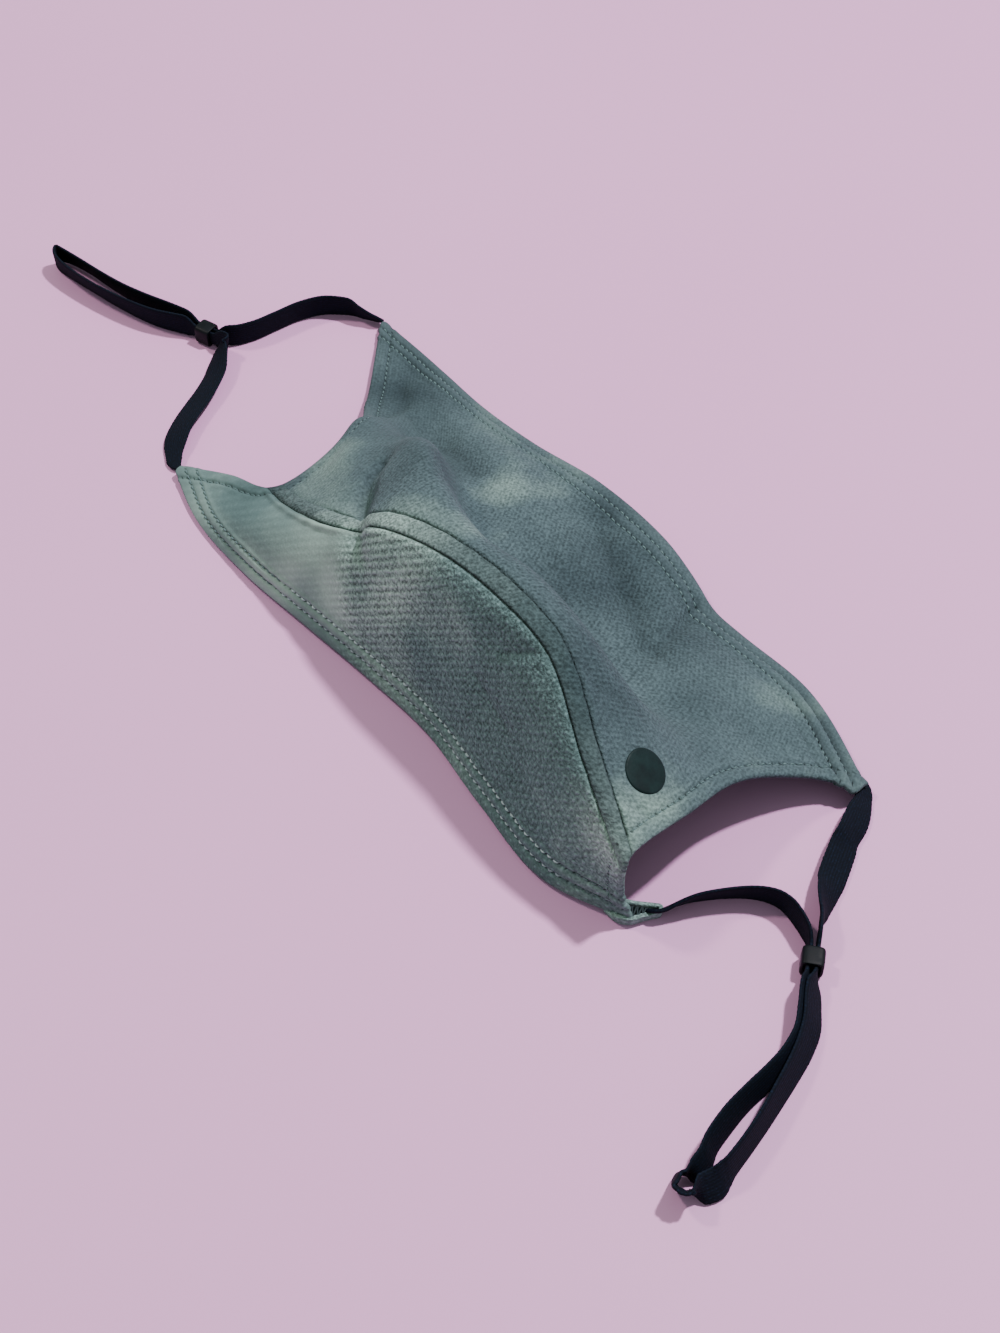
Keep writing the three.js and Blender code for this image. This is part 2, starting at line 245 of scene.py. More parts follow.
rightRoute = [
    (102.9, 29.2, 60), (105.2, 25.9, 54), (107.3, 22, 52), (109.2, 17.6, 45), (111.3, 13.3, 57),
    (113.9, 8.5, 60), (117.1, 3.1, 43), (120.4, -1.8, 18), (123.2, -5.4, 2), (126.1, -8.9, 0),
    (128.7, -11.9, 0), (131.3, -15, 14), (135.3, -19.6, 32), (139, -23.5, 34), (141.9, -28.3, 30),
    (144.5, -34.3, 24), (146.7, -40.4, 20), (149, -47.1, 16), (150.8, -53.4, 15), (151.9, -57.9, 16),
    (152.7, -61.4, 26), (152.8, -64.9, 38), (152.1, -67.3, 34), (151.5, -69.3, 10), (150.6, -70.6, -10),
    (149, -71.1, -20), (147.7, -70.4, -25), (147.2, -68.8, -25), (147.7, -67.2, -22), (148.4, -65, -24),
    (147.8, -62.4, -24), (146.1, -59.1, -22), (144.3, -52.9, -22), (143.1, -45.8, -18), (142.5, -38.6, -20),
    (141.5, -32, -26), (139.3, -26.5, -30), (136.1, -22.5, -30), (132.8, -19, -26), (129.9, -16, -12),
    (127.3, -13.1, 0), (124.8, -10, 0), (121.2, -8.3, 2), (117.4, -7.3, 3), (113.6, -7.1, -2),
    (110.2, -8.4, -8), (106.6, -11.6, -14), (103.3, -16.2, -18), (100.8, -20.6, -21), (99, -24.8, -26),
    (97.6, -29, -31), (97, -30.1, -28)]
# each sewn end goes on into the hem of its corner
tuckedEnds = {"left": ((-100.6, 42.0, -36), (-87.6, -35.8, -76)),
              "right": ((100.4, 32.0, 72), (95.4, -31.9, -24))}
# the right loop's end curls over: there its width points towards "towards", and its middle line
# lies at one height
rightFold = {"centre": (149.2, -69.2), "height": 4.3, "towards": (0.44, -0.35, 0.83), "reach": 2.7,
             "softness": 0.35}


def elasticMaterial():
    # woven polyester elastic: dull, nearly black navy, fine ribs along it and cross threads
    material, tree, shader = newMaterial("woven polyester elastic")
    uv, along, across = uvSplit(tree, "cloth")
    # ribs 0.75 mm apart across, threads 0.9 mm apart along: coarser than real, so that they show
    rib = ripple(tree, across, 0.75)
    thread = ripple(tree, along, 0.9)
    crossing = addNode(tree, "Math", (rib, thread), operation="MULTIPLY")
    weave = addNode(tree, "Math", (crossing, 0.6, rib), operation="MULTIPLY_ADD")
    dust = addNode(tree, "TexNoise", {"Vector": uv, "Scale": 1.6, "Detail": 3.0, "Roughness": 0.55})
    tone = addNode(tree, "Math", (weave, 0.12, dust), operation="MULTIPLY_ADD")
    navy = [(0.3, "#02060d"), (0.62, "#050c19"), (0.85, "#0e1a2c")]
    setInputs(shader, {
        "Base Color": addNode(tree, "ValToRGB", (tone,), stops=navy),
        "Roughness": 0.85, "Specular IOR Level": 0.12,
        "Normal": addNode(tree, "Bump", {"Height": weave, "Strength": 0.25, "Distance": 0.0001})})
    return material


def elasticRibbon(route, site, fold=None):
    # a flat section carried along the route: height = lift + half width cos(lean)
    # + half thickness |sin(lean)|, and the slider lifts it further; its width narrows by
    # exp(-(distance / reach)^2) near the slider and near each sewn end; the section itself is
    # across = sign(cos a) |cos a|^0.35, out = sign(sin a) |sin a|^0.7
    route = np.array(route, float)
    count = (len(route) - 1) * elastic["perPoint"] + 1
    spot = curveThrough(route, np.linspace(0, len(route) - 1, count))
    lean = np.radians(spot[:, 2])
    side = levelSide(spot)
    upwards = np.cos(lean)[:, None] * np.array([0, 0, 1.0]) + np.sin(lean)[:, None] * side
    fromSlider = np.hypot(spot[:, 0] - site[0], spot[:, 1] - site[1]) - slider["hold"] * slider["length"]
    gathered = bell(np.maximum(fromSlider, 0), elastic["gatheredReach"])
    steps = travelled(spot[:, :2])
    sewnAt = steps[elastic["perPoint"]], steps[-1 - elastic["perPoint"]]
    fromSewn = np.maximum(np.minimum(steps - sewnAt[0], sewnAt[1] - steps), 0)
    free = elastic["width"] - (elastic["width"] - elastic["sewn"]) * bell(fromSewn, elastic["sewnReach"])
    halfWidth = (free * (1 - gathered) + elastic["gathered"] * gathered) / 2
    raised = gathered * (slider["height"] - elastic["gathered"]) / 2
    height = (elastic["lift"] + halfWidth * np.cos(lean) + elastic["thickness"] / 2 * np.abs(np.sin(lean))
              + raised)
    if fold:
        away = spot[:, :2] - fold["centre"]
        near = edge(np.linalg.norm(away, axis=1) - fold["reach"], fold["softness"])
        upwards = unit(upwards * (1 - near)[:, None] + unit(np.array(fold["towards"])) * near[:, None])
        height = height * (1 - near) + fold["height"] * near
    centre = np.column_stack([spot[:, :2], height])
    through = unit(np.cross(unit(np.gradient(centre, axis=0)), upwards))
    # the sewn ends taper off inside the hems
    inHem = np.clip(np.minimum(steps / sewnAt[0], (steps[-1] - steps) / (steps[-1] - sewnAt[1])), 0.02, 1)
    halfWidth = halfWidth * np.sqrt(inHem)
    halfWidth = halfWidth + elastic["loopRise"] * np.sin(2 * np.pi * steps / elastic["loopGap"])
    around = circle(elastic["around"])
    across, out = squared(around, 0.35)[0], squared(around, 0.7)[1]
    rings = (centre[:, None] + upwards[:, None] * (halfWidth[:, None] * across)[..., None]
             + through[:, None] * (elastic["thickness"] / 2 * out)[None, :, None])
    uv = np.stack(np.broadcast_arrays(steps[:, None], across[None, :] * elastic["width"] / 2), -1)
    return centre, travelled(centre)[-1], rings, uv


def sliderBlock(site):
    # a ring with a rounded wall: between the slot's outline and the outer one, both
    # superellipses, the wall's own section is a superellipse along the strap
    outlineX, outlineZ = squared(circle(slider["around"]), slider["rounding"])
    alongWall, acrossWall = squared(circle(slider["wallAround"]), slider["rounding"])
    share = (acrossWall + 1) / 2
    x = outlineX[:, None] * (slider["slotWidth"] + share * (slider["width"] - slider["slotWidth"])) / 2
    z = outlineZ[:, None] * (slider["slotHeight"] + share * (slider["height"] - slider["slotHeight"])) / 2
    y = np.broadcast_to(alongWall * slider["length"] / 2, x.shape)
    heading = np.radians(site[2])
    forwards = np.array([np.cos(heading), np.sin(heading), 0])
    sideways = np.array([np.sin(heading), -np.cos(heading), 0])
    middle = np.array([site[0], site[1], elastic["lift"] + slider["height"] / 2])
    points = middle + y[..., None] * forwards + x[..., None] * sideways
    points = (points + z[..., None] * np.array([0, 0, 1.0])).reshape(-1, 3)
    quads = gridFaces(slider["around"], slider["wallAround"], wrapColumns=True, wrapRows=True)
    return points, facingOut(points, quads)


def rubberMaterial():
    # moulded silicone rubber: dark green grey, satin, a fine moulding grain and faint dust
    material, tree, shader = newMaterial("moulded silicone")
    place = addNode(tree, "TexCoord", output="Object")
    grain = addNode(tree, "TexNoise", {"Vector": place, "Scale": 2600.0, "Detail": 2.0, "Roughness": 0.55})
    dust = addNode(tree, "TexNoise", {"Vector": place, "Scale": 420.0, "Detail": 3.0, "Roughness": 0.55})
    setInputs(shader, {
        "Base Color": addNode(tree, "ValToRGB", (dust,), stops=[(0.35, "#05090d"), (0.7, "#0a1015")]),
        "Roughness": addNode(tree, "MapRange", (dust, 0.3, 0.7, 0.42, 0.62)), "Specular IOR Level": 0.12,
        "Normal": addNode(tree, "Bump", {"Height": grain, "Strength": 0.25, "Distance": 0.00005})})
    return material


elasticLook, rubberLook = elasticMaterial(), rubberMaterial()
for hand, route in (("left", leftRoute), ("right", rightRoute)):
    points, faces = sliderBlock(sliderSites[hand])
    block = makePiece(f"slider_{hand}_moulded", points, faces, rubberLook)
    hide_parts(f"slider_{hand}")
    start, end = tuckedEnds[hand]
    fold = rightFold if hand == "right" else None
    centre, length, rings, uv = elasticRibbon([start, *route, end], sliderSites[hand], fold)
    uv = np.concatenate([uv.reshape(-1, 2), [[0, 0], [length, 0]]])
    loop = tubePiece(f"ear_loop_{hand}_woven", rings, elasticLook, {"cloth": uv})
    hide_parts(f"ear_loop_{hand}")
    print("ear loop", hand, "made,", round(length), "mm long")

cloth = {"thickness": 1.6, "bandWidth": 5.0, "columns": 376, "lowerRows": 42, "upperRows": 92}

lineNames = ["chin", "belly", "seam", "brow", "foot", "bridge", "nose"]
# the outer face: a row per section from the left side edge to the right one
sections = [
    dict(chin=(-90, -36.3, 1.8), belly=(-72.3, -28.1, 6.2), seam=(-57.5, -25, 11), brow=(-55, -3, 17.5),
         foot=(-73.5, 16, 6), bridge=(-90, 31, 2.6), nose=(-102.8, 42.6, 1.8)),
    dict(chin=(-69.5, -42.2, 0.8), belly=(-55, -35.4, 10.5), seam=(-42, -27.2, 18), brow=(-43.5, 1, 26),
         foot=(-55, 19, 8), bridge=(-67, 31, 4.5), nose=(-78.7, 42.7, 1.8)),
    dict(chin=(-46, -43.2, 0.8), belly=(-34, -36.4, 15.5), seam=(-24, -27.1, 27), brow=(-26, -1, 36.5),
         foot=(-33, 15, 14), bridge=(-45, 29, 9), nose=(-54.3, 41.7, 2.2)),
    dict(chin=(-22, -41.2, 0.8), belly=(-14, -35, 21.5), seam=(-7, -24.3, 39), brow=(-7.8, -10, 42.2),
         foot=(-11, 3.5, 17.6), bridge=(-22, 25, 13), nose=(-32.7, 42, 4.5)),
    dict(chin=(1, -39.2, 0.8), belly=(7, -33.4, 24.5), seam=(13.3, -22, 45.6), brow=(13.5, -17.2, 46),
         foot=(12, -3, 18), bridge=(0, 21, 14.5), nose=(-7.7, 43.5, 8.5)),
    dict(chin=(24, -38.3, 0.8), belly=(29, -32.7, 25.5), seam=(33.3, -21.3, 47.5), brow=(32.5, -15.6, 47.4),
         foot=(33, -1.5, 17.5), bridge=(24, 19, 14), nose=(17.3, 43.5, 8)),
    dict(chin=(48, -41.5, 0.8), belly=(50, -35, 25), seam=(51.3, -22.4, 46.4), brow=(51.5, -15.6, 44.6),
         foot=(52, -1.8, 16.5), bridge=(48, 19.5, 12.5), nose=(43.3, 40.5, 2.4)),
    dict(chin=(75, -43.3, 0.8), belly=(74, -39.4, 18.5), seam=(72.3, -29.8, 35.5), brow=(71.3, -16.2, 33.2),
         foot=(71.2, 2, 16.4), bridge=(71, 19, 12), nose=(74, 41, 1.8)),
    dict(chin=(95.5, -35, 1), belly=(93, -37, 10.5), seam=(93, -36.7, 22), brow=(91, -15.4, 20.5),
         foot=(89.5, 0.7, 17), bridge=(94, 16.6, 10), nose=(103.5, 30.4, 3.4)),
]
controlPoints = np.array([[row[name] for row in sections] for name in lineNames], float)

# dents (positive depth) and ridges, each along a path of (section, line), with its spread in mm
# to the left and the right of the path
folds = [
    dict(path=[(1.6, 2.65), (1.88, 2.3)], left=3, right=7, depth=1.9),  # end of the dome
    dict(path=[(2.0, 2.3), (2.6, 1.75)], left=3.5, right=7, depth=1.6),
    dict(path=[(2.6, 1.75), (3.3, 1.1)], left=5, right=6, depth=0.9),
    dict(path=[(0.75, 2.6), (0.25, 3.2)], left=5, right=5, depth=-1.2),  # ridge at the left end
    dict(path=[(0.25, 3.2), (0.75, 4.0)], left=5, right=5, depth=-1.2),
    dict(path=[(1.35, 3.0), (1.3, 4.3)], left=8, right=8, depth=2.2),  # hollow beside it
    dict(path=[(0.3, 4.6), (0.7, 5.2)], left=6, right=6, depth=1.2),
    dict(path=[(1.6, 4.3), (2.6, 4.6)], left=7, right=7, depth=1.4),
    dict(path=[(3.0, 5.3), (3.7, 4.3)], left=7, right=7, depth=-1.2),
    dict(path=[(4.45, 5.5), (5.3, 5.1)], left=5, right=7, depth=1.5),  # V dent of the upper panel
    dict(path=[(5.3, 5.1), (5.8, 4.7)], left=5, right=7, depth=1.7),
    dict(path=[(5.85, 4.8), (5.8, 5.8)], left=5, right=6, depth=1.4),
    dict(path=[(6.8, 4.6), (7.3, 4.0)], left=6, right=6, depth=-1.0),
    dict(path=[(6.6, 4.9), (7.6, 4.9)], left=6, right=6, depth=0.9),
    dict(path=[(5.3, 1.5), (6.1, 1.8)], left=4, right=5, depth=0.7),  # creases of the lower panel
    dict(path=[(5.6, 0.9), (6.7, 0.8)], left=5, right=5, depth=0.6),
    dict(path=[(2.4, 1.4), (2.9, 0.8)], left=5, right=5, depth=0.8),
    dict(path=[(7.1, 2.35), (7.8, 2.5)], left=3, right=3, depth=0.5),
]
# finer creases: a narrow dent with the cloth on its right-hand side standing proud of it
creases = [
    dict(path=[(1.54, 2.62), (1.6, 2.45), (1.83, 2.25), (2.2, 2.12)], width=1.3, depth=1.1, rise=1.2,
         reach=11),
    dict(path=[(2.2, 2.0), (2.55, 1.75), (3.15, 1.35)], width=2.4, depth=0.5, rise=0.9, reach=9),
    dict(path=[(0.85, 4.2), (1.3, 4.25), (1.85, 4.33), (2.5, 4.53)], width=2.2, depth=0.7, rise=0.3,
         reach=6),
    dict(path=[(0.35, 3.7), (0.7, 4.4), (0.6, 4.9)], width=2.0, depth=0.7, rise=0.2, reach=5),
    dict(path=[(4.5, 5.47), (4.93, 5.27), (5.35, 5.1), (5.75, 4.75)], width=2.2, depth=0.7, rise=0.3,
         reach=6),
    dict(path=[(5.88, 4.78), (5.85, 5.45), (5.73, 5.83)], width=2.0, depth=0.7, rise=0.2, reach=5),
    dict(path=[(5.5, 1.48), (5.88, 1.73), (6.1, 1.97)], width=1.3, depth=0.4, rise=0.35, reach=5),
    dict(path=[(5.3, 1.1), (5.68, 1.02), (6.0, 1.0)], width=1.8, depth=0.4, rise=0.0, reach=5),
    dict(path=[(7.15, 2.32), (7.5, 2.25), (7.78, 2.5)], width=1.0, depth=0.45, rise=0.2, reach=4),
    dict(path=[(6.2, 2.5), (6.6, 2.75), (6.9, 3.2)], width=2.5, depth=0.35, rise=0.0, reach=4),
]

# the mottled dye, with painted shade in the hollows and creases and painted highlights mixed in:
# soft patches at (section, line), radius in mm, tone from -1 dark to 1 mint
dyeAndShadePatches = [
    (0.9, 0.1, 14, 0.5), (1.2, 1.3, 10, -0.1), (2.2, 0.8, 8, 0.3), (0.8, 2.2, 9, 0.2),
    (1.5, 1.2, 9, 0.1), (0.4, 2.5, 10, 0.15), (0.35, 1.4, 9, -0.95), (1.45, 2.6, 6, -0.55),
    (2.5, 1.3, 13, 0.6), (3.4, 1.3, 8, -0.2), (1.6, 0.6, 9, 0.5), (2.3, 0.3, 8, 0.3),
    (4.0, 1.2, 13, 0.7), (2.9, 2.0, 10, 0.5), (2.2, 0.7, 12, 0.3), (4.4, 1.6, 12, 0.2),
    (4.6, 0.7, 14, -0.15), (5.2, 1.9, 12, -0.15), (5.6, 1.0, 14, -0.13), (6.6, 0.6, 14, -0.15),
    (7.4, 1.3, 12, 0.2), (4.8, 2.5, 10, 0.2), (0.35, 4.6, 12, -0.7), (1.1, 4.6, 12, -0.55),
    (0.9, 5.6, 14, -0.1), (2.0, 5.4, 15, 0.3), (1.9, 4.2, 12, -0.6), (1.1, 3.2, 11, -0.35),
    (3.1, 4.8, 10, 0.5), (2.8, 5.8, 12, -0.2), (4.1, 5.5, 8, -0.6), (4.9, 5.3, 13, -0.7),
    (4.6, 4.5, 14, -0.3), (3.9, 4.1, 10, 0.2), (3.9, 3.1, 9, 0.3), (2.6, 5.2, 10, 0.3),
    (5.9, 5.2, 14, -0.4), (5.6, 4.4, 8, -0.25), (6.1, 2.75, 8, -0.25), (6.0, 4.3, 9, 0.1),
    (6.7, 4.4, 13, -0.45), (7.5, 3.7, 9, -0.3), (7.1, 5.6, 9, 0.35), (7.65, 2.25, 6, 0.3),
    (7.8, 2.5, 7, 0.6), (7.85, 2.0, 6, 0.5), (6.6, 2.9, 12, -0.4), (2.6, 3.0, 13, -0.45),
    (0.75, 2.6, 11, 0.35), (4.6, 3.2, 16, -0.4), (7.9, 3.3, 8, 0.35), (1.9, 2.8, 9, -0.2),
    (3.3, 0.55, 10, 1.0), (4.4, 0.3, 8, 0.3)]


def smoothPoints(section, line):
    # section (n,), line (n, m) -> (n, m, 3): a curve through the sections, then one through the lines
    everyLine = curveThrough(controlPoints, np.broadcast_to(section, (len(lineNames), len(section))))
    return curveThrough(np.swapaxes(everyLine, 0, 1), line)


def gridNormals(points):
    # across both directions of a grid: d/du x d/dv
    return unit(np.cross(np.gradient(points, axis=0), np.gradient(points, axis=1)))


def spotAt(section, line):
    # the place of one (section, line) on the smooth cloth
    return smoothPoints(np.array([section]), np.array([[line]]))[0, 0]


def segments(points, path):
    # for each segment of a path: its run from end to end, and the way to the points from the
    # nearest place on it
    for start, end in zip(path[:-1], path[1:]):
        run = end - start
        share = np.clip((points - start) @ run / (run @ run), 0, 1)
        yield run, points - start - share[..., None] * run


def fromPath(points, normals, path):
    # distance to the nearest segment of a path of (section, line), and which side of it a point
    # is on: the sine of the angle about the segment, 1 to its left and -1 to its right
    distance = np.full(points.shape[:-1], 1e9)
    side = np.zeros(points.shape[:-1])
    for run, away in segments(points, [spotAt(*spot) for spot in path]):
        here = np.linalg.norm(away, axis=-1) + 1e-6
        turn = np.sum(np.cross(run, away) * normals, -1) / (np.linalg.norm(run) * here)
        side = np.where(here < distance, turn, side)
        distance = np.minimum(here, distance)
    return distance, side


def foldDepth(points, normals):
    # the sum of each fold's depth * exp(-(distance / spread)^2), its spread going from "right" to
    # "left" with the sine of the angle about the path
    depth = np.zeros(points.shape[:-1])
    for fold in folds:
        distance, side = fromPath(points, normals, fold["path"])
        spread = fold["right"] + (fold["left"] - fold["right"]) * (side + 1) / 2
        depth += fold["depth"] * bell(distance, spread)
    return depth


def distanceToEdge(points, path):
    # least distance to the segments of a path
    return np.min([np.linalg.norm(away, axis=-1) for _, away in segments(points, path)], axis=0)


# columns crowd towards the side edges, where the hems are
edgeSteps = np.array([0, 0.0015, 0.004, 0.008, 0.014, 0.022, 0.032, 0.044])
middleSections = np.linspace(0.06, 7.94, cloth["columns"] - 2 * len(edgeSteps))
columns = np.concatenate([edgeSteps, middleSections, 8 - edgeSteps[::-1]])

# the length of cloth from the chin edge to each line, for every column
fineLines = np.linspace(0, 6, 481)
finePoints = smoothPoints(columns, np.broadcast_to(fineLines, (len(columns), len(fineLines))))
fromChin = travelled(finePoints.swapaxes(0, 1)).T
seamLength = fromChin[:, list(fineLines).index(2.0)]
fullLength = fromChin[:, -1]
print("cloth: chin to seam up to", seamLength.max().round(), "mm, seam to nose up to",
      (fullLength - seamLength).max().round(), "mm")

# rows crowd at the hems' free edges and stitch rows, and at both seams
hemSteps = np.array([0, 0.06, 0.2, 0.42, 0.7, 1.05, 1.5, 2.1, 2.8, 3.4, 3.9, 4.3, 4.7, 5.1, 5.7, 6.4, 7.0,
                     7.5, 7.9, 8.3, 8.8, 9.3, 9.8, 10.3])
seamSteps = np.array([0, 0.1, 0.22, 0.36, 0.52, 0.75, 1.1, 1.6, 2.2])  # away from the band's edge
bandHalf = np.array([0.25, 0.5, 0.7, 0.81, 0.88, 0.93, 0.97, 1])
bandSteps = np.concatenate([-bandHalf[::-1], [0], bandHalf]) * cloth["bandWidth"] / 2


def stretchedRows(startSteps, endSteps, middleCount, lengths):
    # rows that keep their distance from both ends, with even rows in between: (n, m) lengths
    share = np.linspace(0, 1, middleCount + 2)[1:-1]
    middle = startSteps[-1] + share * (lengths[:, None] - startSteps[-1] - endSteps[-1])
    start = np.broadcast_to(startSteps, (len(lengths), len(startSteps)))
    return np.concatenate([start, middle, lengths[:, None] - endSteps[::-1]], axis=1)


halfBand = cloth["bandWidth"] / 2
lowerRows = stretchedRows(hemSteps, seamSteps, cloth["lowerRows"], seamLength - halfBand)
bandRows = seamLength[:, None] + bandSteps
fromNose = stretchedRows(hemSteps, seamSteps, cloth["upperRows"], fullLength - seamLength - halfBand)
upperRows = fullLength[:, None] - fromNose[:, ::-1]
rowLengths = np.concatenate([lowerRows, bandRows, upperRows], axis=1)
rowLines = np.stack([np.interp(wanted, have, fineLines) for wanted, have in zip(rowLengths, fromChin)])
lowerEnd, upperStart = lowerRows.shape[1], lowerRows.shape[1] + bandRows.shape[1]

smooth = smoothPoints(columns, rowLines)
smoothNormals = gridNormals(smooth)
alongRow = travelled(smooth)
near = 46  # columns beside each side edge, whose true distance from it counts
fromSide = np.full(smooth.shape[:2], 99.0)
fromSide[:near] = distanceToEdge(smooth[:near], smooth[0, ::3])
fromSide[-near:] = distanceToEdge(smooth[-near:], smooth[-1, ::3])
fromHem = np.minimum(rowLengths, fullLength[:, None] - rowLengths)
fromBand = np.abs(rowLengths - seamLength[:, None]) - halfBand
alongSeam = np.broadcast_to(alongRow[:, lowerEnd + 8][:, None], smooth.shape[:2])
sectionOf = np.broadcast_to(columns[:, None], smooth.shape[:2])
fromChinwards = rowLengths < seamLength[:, None]  # on the chin's side of the band's middle
isLower, isBand, isUpper = np.zeros((3, *smooth.shape[:2]), bool)
isLower[:, :lowerEnd], isBand[:, lowerEnd:upperStart], isUpper[:, upperStart:] = True, True, True

# near (section, line), within reach mm, the cloth is moved by (x, y, z)
tipMoves = [((0, 0), 2.4, (2.6, 1.0, 0.2)), ((8, 5.72), 3.2, (1.5, -1.3, -0.3)),
            ((8, 6), 2.2, (-1.2, 0.6, 0)), ((0, 6), 2.2, (1.6, -0.8, 0))]

relief = {"hemWidth": 9.4, "hemRise": 0.35, "hemPuff": 0.35, "stitchRows": (4.3, 7.9), "stitchSink": 0.5,
          "stitchWidth": 0.5, "sideWidth": 5.6, "sideRise": 0.2, "sidePuff": 0.25, "sideStitch": 4.0,
          "stepSoftness": 0.25, "cornerReach": 8, "seamSink": 0.75, "seamWidth": 0.42, "bandRise": 0.15,
          "bandRiseLeft": 0.35}

lift = -foldDepth(smooth, smoothNormals)
shadow = np.zeros(smooth.shape[:2])  # how deep in a crease or groove, for the painted shade there
for crease in creases:
    distance, side = fromPath(smooth, smoothNormals, crease["path"])
    dent = bell(distance, crease["width"])
    lift += crease["rise"] * (1 - side) / 2 * (1 - dent) * np.exp(-distance / crease["reach"])
    lift -= crease["depth"] * dent
    # painted shade along the crease
    shadow += crease["depth"] * bell(distance, crease["width"] * 0.8)

# corners and the ends of the band are stitched flat
corners = [smooth[column, row] for column in (0, -1) for row in (0, -1)]
fromCorner = np.min([np.linalg.norm(smooth - corner, axis=-1) for corner in corners], axis=0)
calm = 1 - bell(fromCorner, relief["cornerReach"])
bandCalm = 1 - 0.9 * bell(fromSide, 3.5)
chinQuiet = 1 - 0.6 * edge(sectionOf - 1.9, 0.3) * fromChinwards


def puffBetween(distance, start, end):
    # a parabola that is 1 half way between start and end, and 0 at both and beyond them
    return np.maximum(0, 1 - ((distance - (start + end) / 2) / ((end - start) / 2)) ** 2)


# the hems: a folded edge, puffed between its stitch rows and drawn in at them
firstRow, secondRow = relief["stitchRows"]
fromHemRow = np.minimum(np.abs(fromHem - firstRow), np.abs(fromHem - secondRow))
hemPuff = puffBetween(fromHem, 0, firstRow) + puffBetween(fromHem, firstRow, secondRow)
sidePuff = puffBetween(fromSide, 0, relief["sideStitch"])
onRow = bell(fromHem - firstRow, relief["stitchWidth"]) + bell(fromHem - secondRow, relief["stitchWidth"])
# the side hem lies flat on the lower panel's right end
sideHem = 1 - 0.85 * (isLower | isBand) * edge(4 - sectionOf, 0.1)
sidePuff = sidePuff * sideHem
onSide = bell(fromSide - relief["sideStitch"], relief["stitchWidth"]) * sideHem
lift += relief["hemRise"] * edge(fromHem - relief["hemWidth"], relief["stepSoftness"])
lift += relief["hemPuff"] * hemPuff * calm * chinQuiet
lift += relief["sideRise"] * edge(fromSide - relief["sideWidth"], relief["stepSoftness"])
lift += relief["sidePuff"] * sidePuff
lift -= relief["stitchSink"] * (onRow * chinQuiet + onSide) * (0.4 + 0.6 * calm)
# painted shade along the stitch rows and just past the hem's step
shadow += 0.35 * (onRow + onSide) + 0.3 * bell(fromHem - relief["hemWidth"] - 0.2, 0.5)

# the thread draws the cloth into small puckers along the hems, the side edges and the band, each
# a wave with its height, the length from crest to crest and how far beside the thread it reaches
puckers = {"hem": {"height": 0.11, "every": 5.3, "reach": 1.7},
           "side": {"height": 0.1, "every": 4.7, "reach": 1.6},
           "seam": {"height": 0.12, "every": 7.4, "reach": 2.5}}
hemPucker, sidePucker, seamPucker = puckers["hem"], puckers["side"], puckers["seam"]
beyondBand = np.maximum(fromBand, 0)
hemWave = np.sin(2 * np.pi * (alongRow + 0.7 * fromHem) / hemPucker["every"]
                 + 1.7 * np.sin(2 * np.pi * alongRow / 23))
lift += hemPucker["height"] * calm * chinQuiet * hemWave * bell(fromHemRow, hemPucker["reach"])
sideWave = np.sin(2 * np.pi * (rowLengths + 0.5 * fromSide) / sidePucker["every"])
besideStitches = bell(fromSide - relief["sideStitch"], sidePucker["reach"]) * edge(6 - beyondBand, 1.5)
lift += sidePucker["height"] * calm * sideHem * besideStitches * sideWave
seamWave = np.sin(2 * np.pi * alongRow / seamPucker["every"] + 1.3 * np.sin(2 * np.pi * alongRow / 31))
lift += seamPucker["height"] * bandCalm * seamWave * bell(beyondBand, seamPucker["reach"])

# three long grooves where the nose hem is pulled towards the right ear loop
gathers = {"fromSection": 6.9, "first": 4.0, "apart": 3.8, "reach": 11.5, "depth": 0.45}
pulled = edge(gathers["fromSection"] - sectionOf, 0.15) * isUpper * (1 - bell(fromSide, 2.6))
pulled = pulled * edge(fromHem - gathers["reach"], 0.8)
groove = np.cos(2 * np.pi * (fromHem - gathers["first"]) / gathers["apart"])
lift -= gathers["depth"] * pulled * groove
# painted shade in the grooves
shadow += 1.5 * pulled * np.maximum(0, groove)

# the seams on both sides of the band: narrow deep grooves, softer and puffier towards the left end
leftness = edge(sectionOf - 3.1, 0.35)
atLeftEnd = edge(sectionOf - 1.62, 0.06)
panelSink = relief["seamSink"] * (1 - 0.8 * atLeftEnd) * bell(beyondBand, relief["seamWidth"])
panelSink = panelSink - (0.15 + 0.55 * leftness * isLower) * bell(beyondBand - 1.8, 1.3)
panelSink = panelSink * np.where(isUpper, 1 - 0.35 * leftness, 1)
bandRound = np.sqrt(np.clip(1 - (1 - np.clip(-fromBand / (0.5 + 1.0 * leftness), 0, 1)) ** 2, 0, 1))
bandLift = (relief["bandRise"] + relief["bandRiseLeft"] * leftness) * bandRound
bandLift = bandLift - 0.45 * (1 - bandRound) * (1 - 0.8 * atLeftEnd)
bandLift = np.where(isBand, bandLift, -panelSink) + 0.35 * atLeftEnd * bell(fromBand + halfBand, 1.6)
lift += bandCalm * bandLift
# painted shade along the band's lower edge at the left end
shadow += 0.9 * atLeftEnd * bandCalm * fromChinwards * bell(fromBand, 1.1)
# the seam's dark line is its stitching with painted shade in its groove
# the seam's dark line fades out towards the left side edge, and its upper one is soft on the left
seamLine = (1 - 0.9 * atLeftEnd) * np.where(fromChinwards, 1, 1 - 0.7 * leftness)

outerFace = smooth + smoothNormals * lift[..., None]
# the corners as sewn: each tip drawn in, and the nose corner's end cut off square to its elastic
for spot, reach, draw in tipMoves:
    outerFace += bell(np.linalg.norm(smooth - spotAt(*spot), axis=-1), reach)[..., None] * np.array(draw)
faceNormals = gridNormals(outerFace)
for row in (lowerEnd, upperStart):
    faceNormals[:, row - 3:row + 3] = smoothNormals[:, row - 3:row + 3]
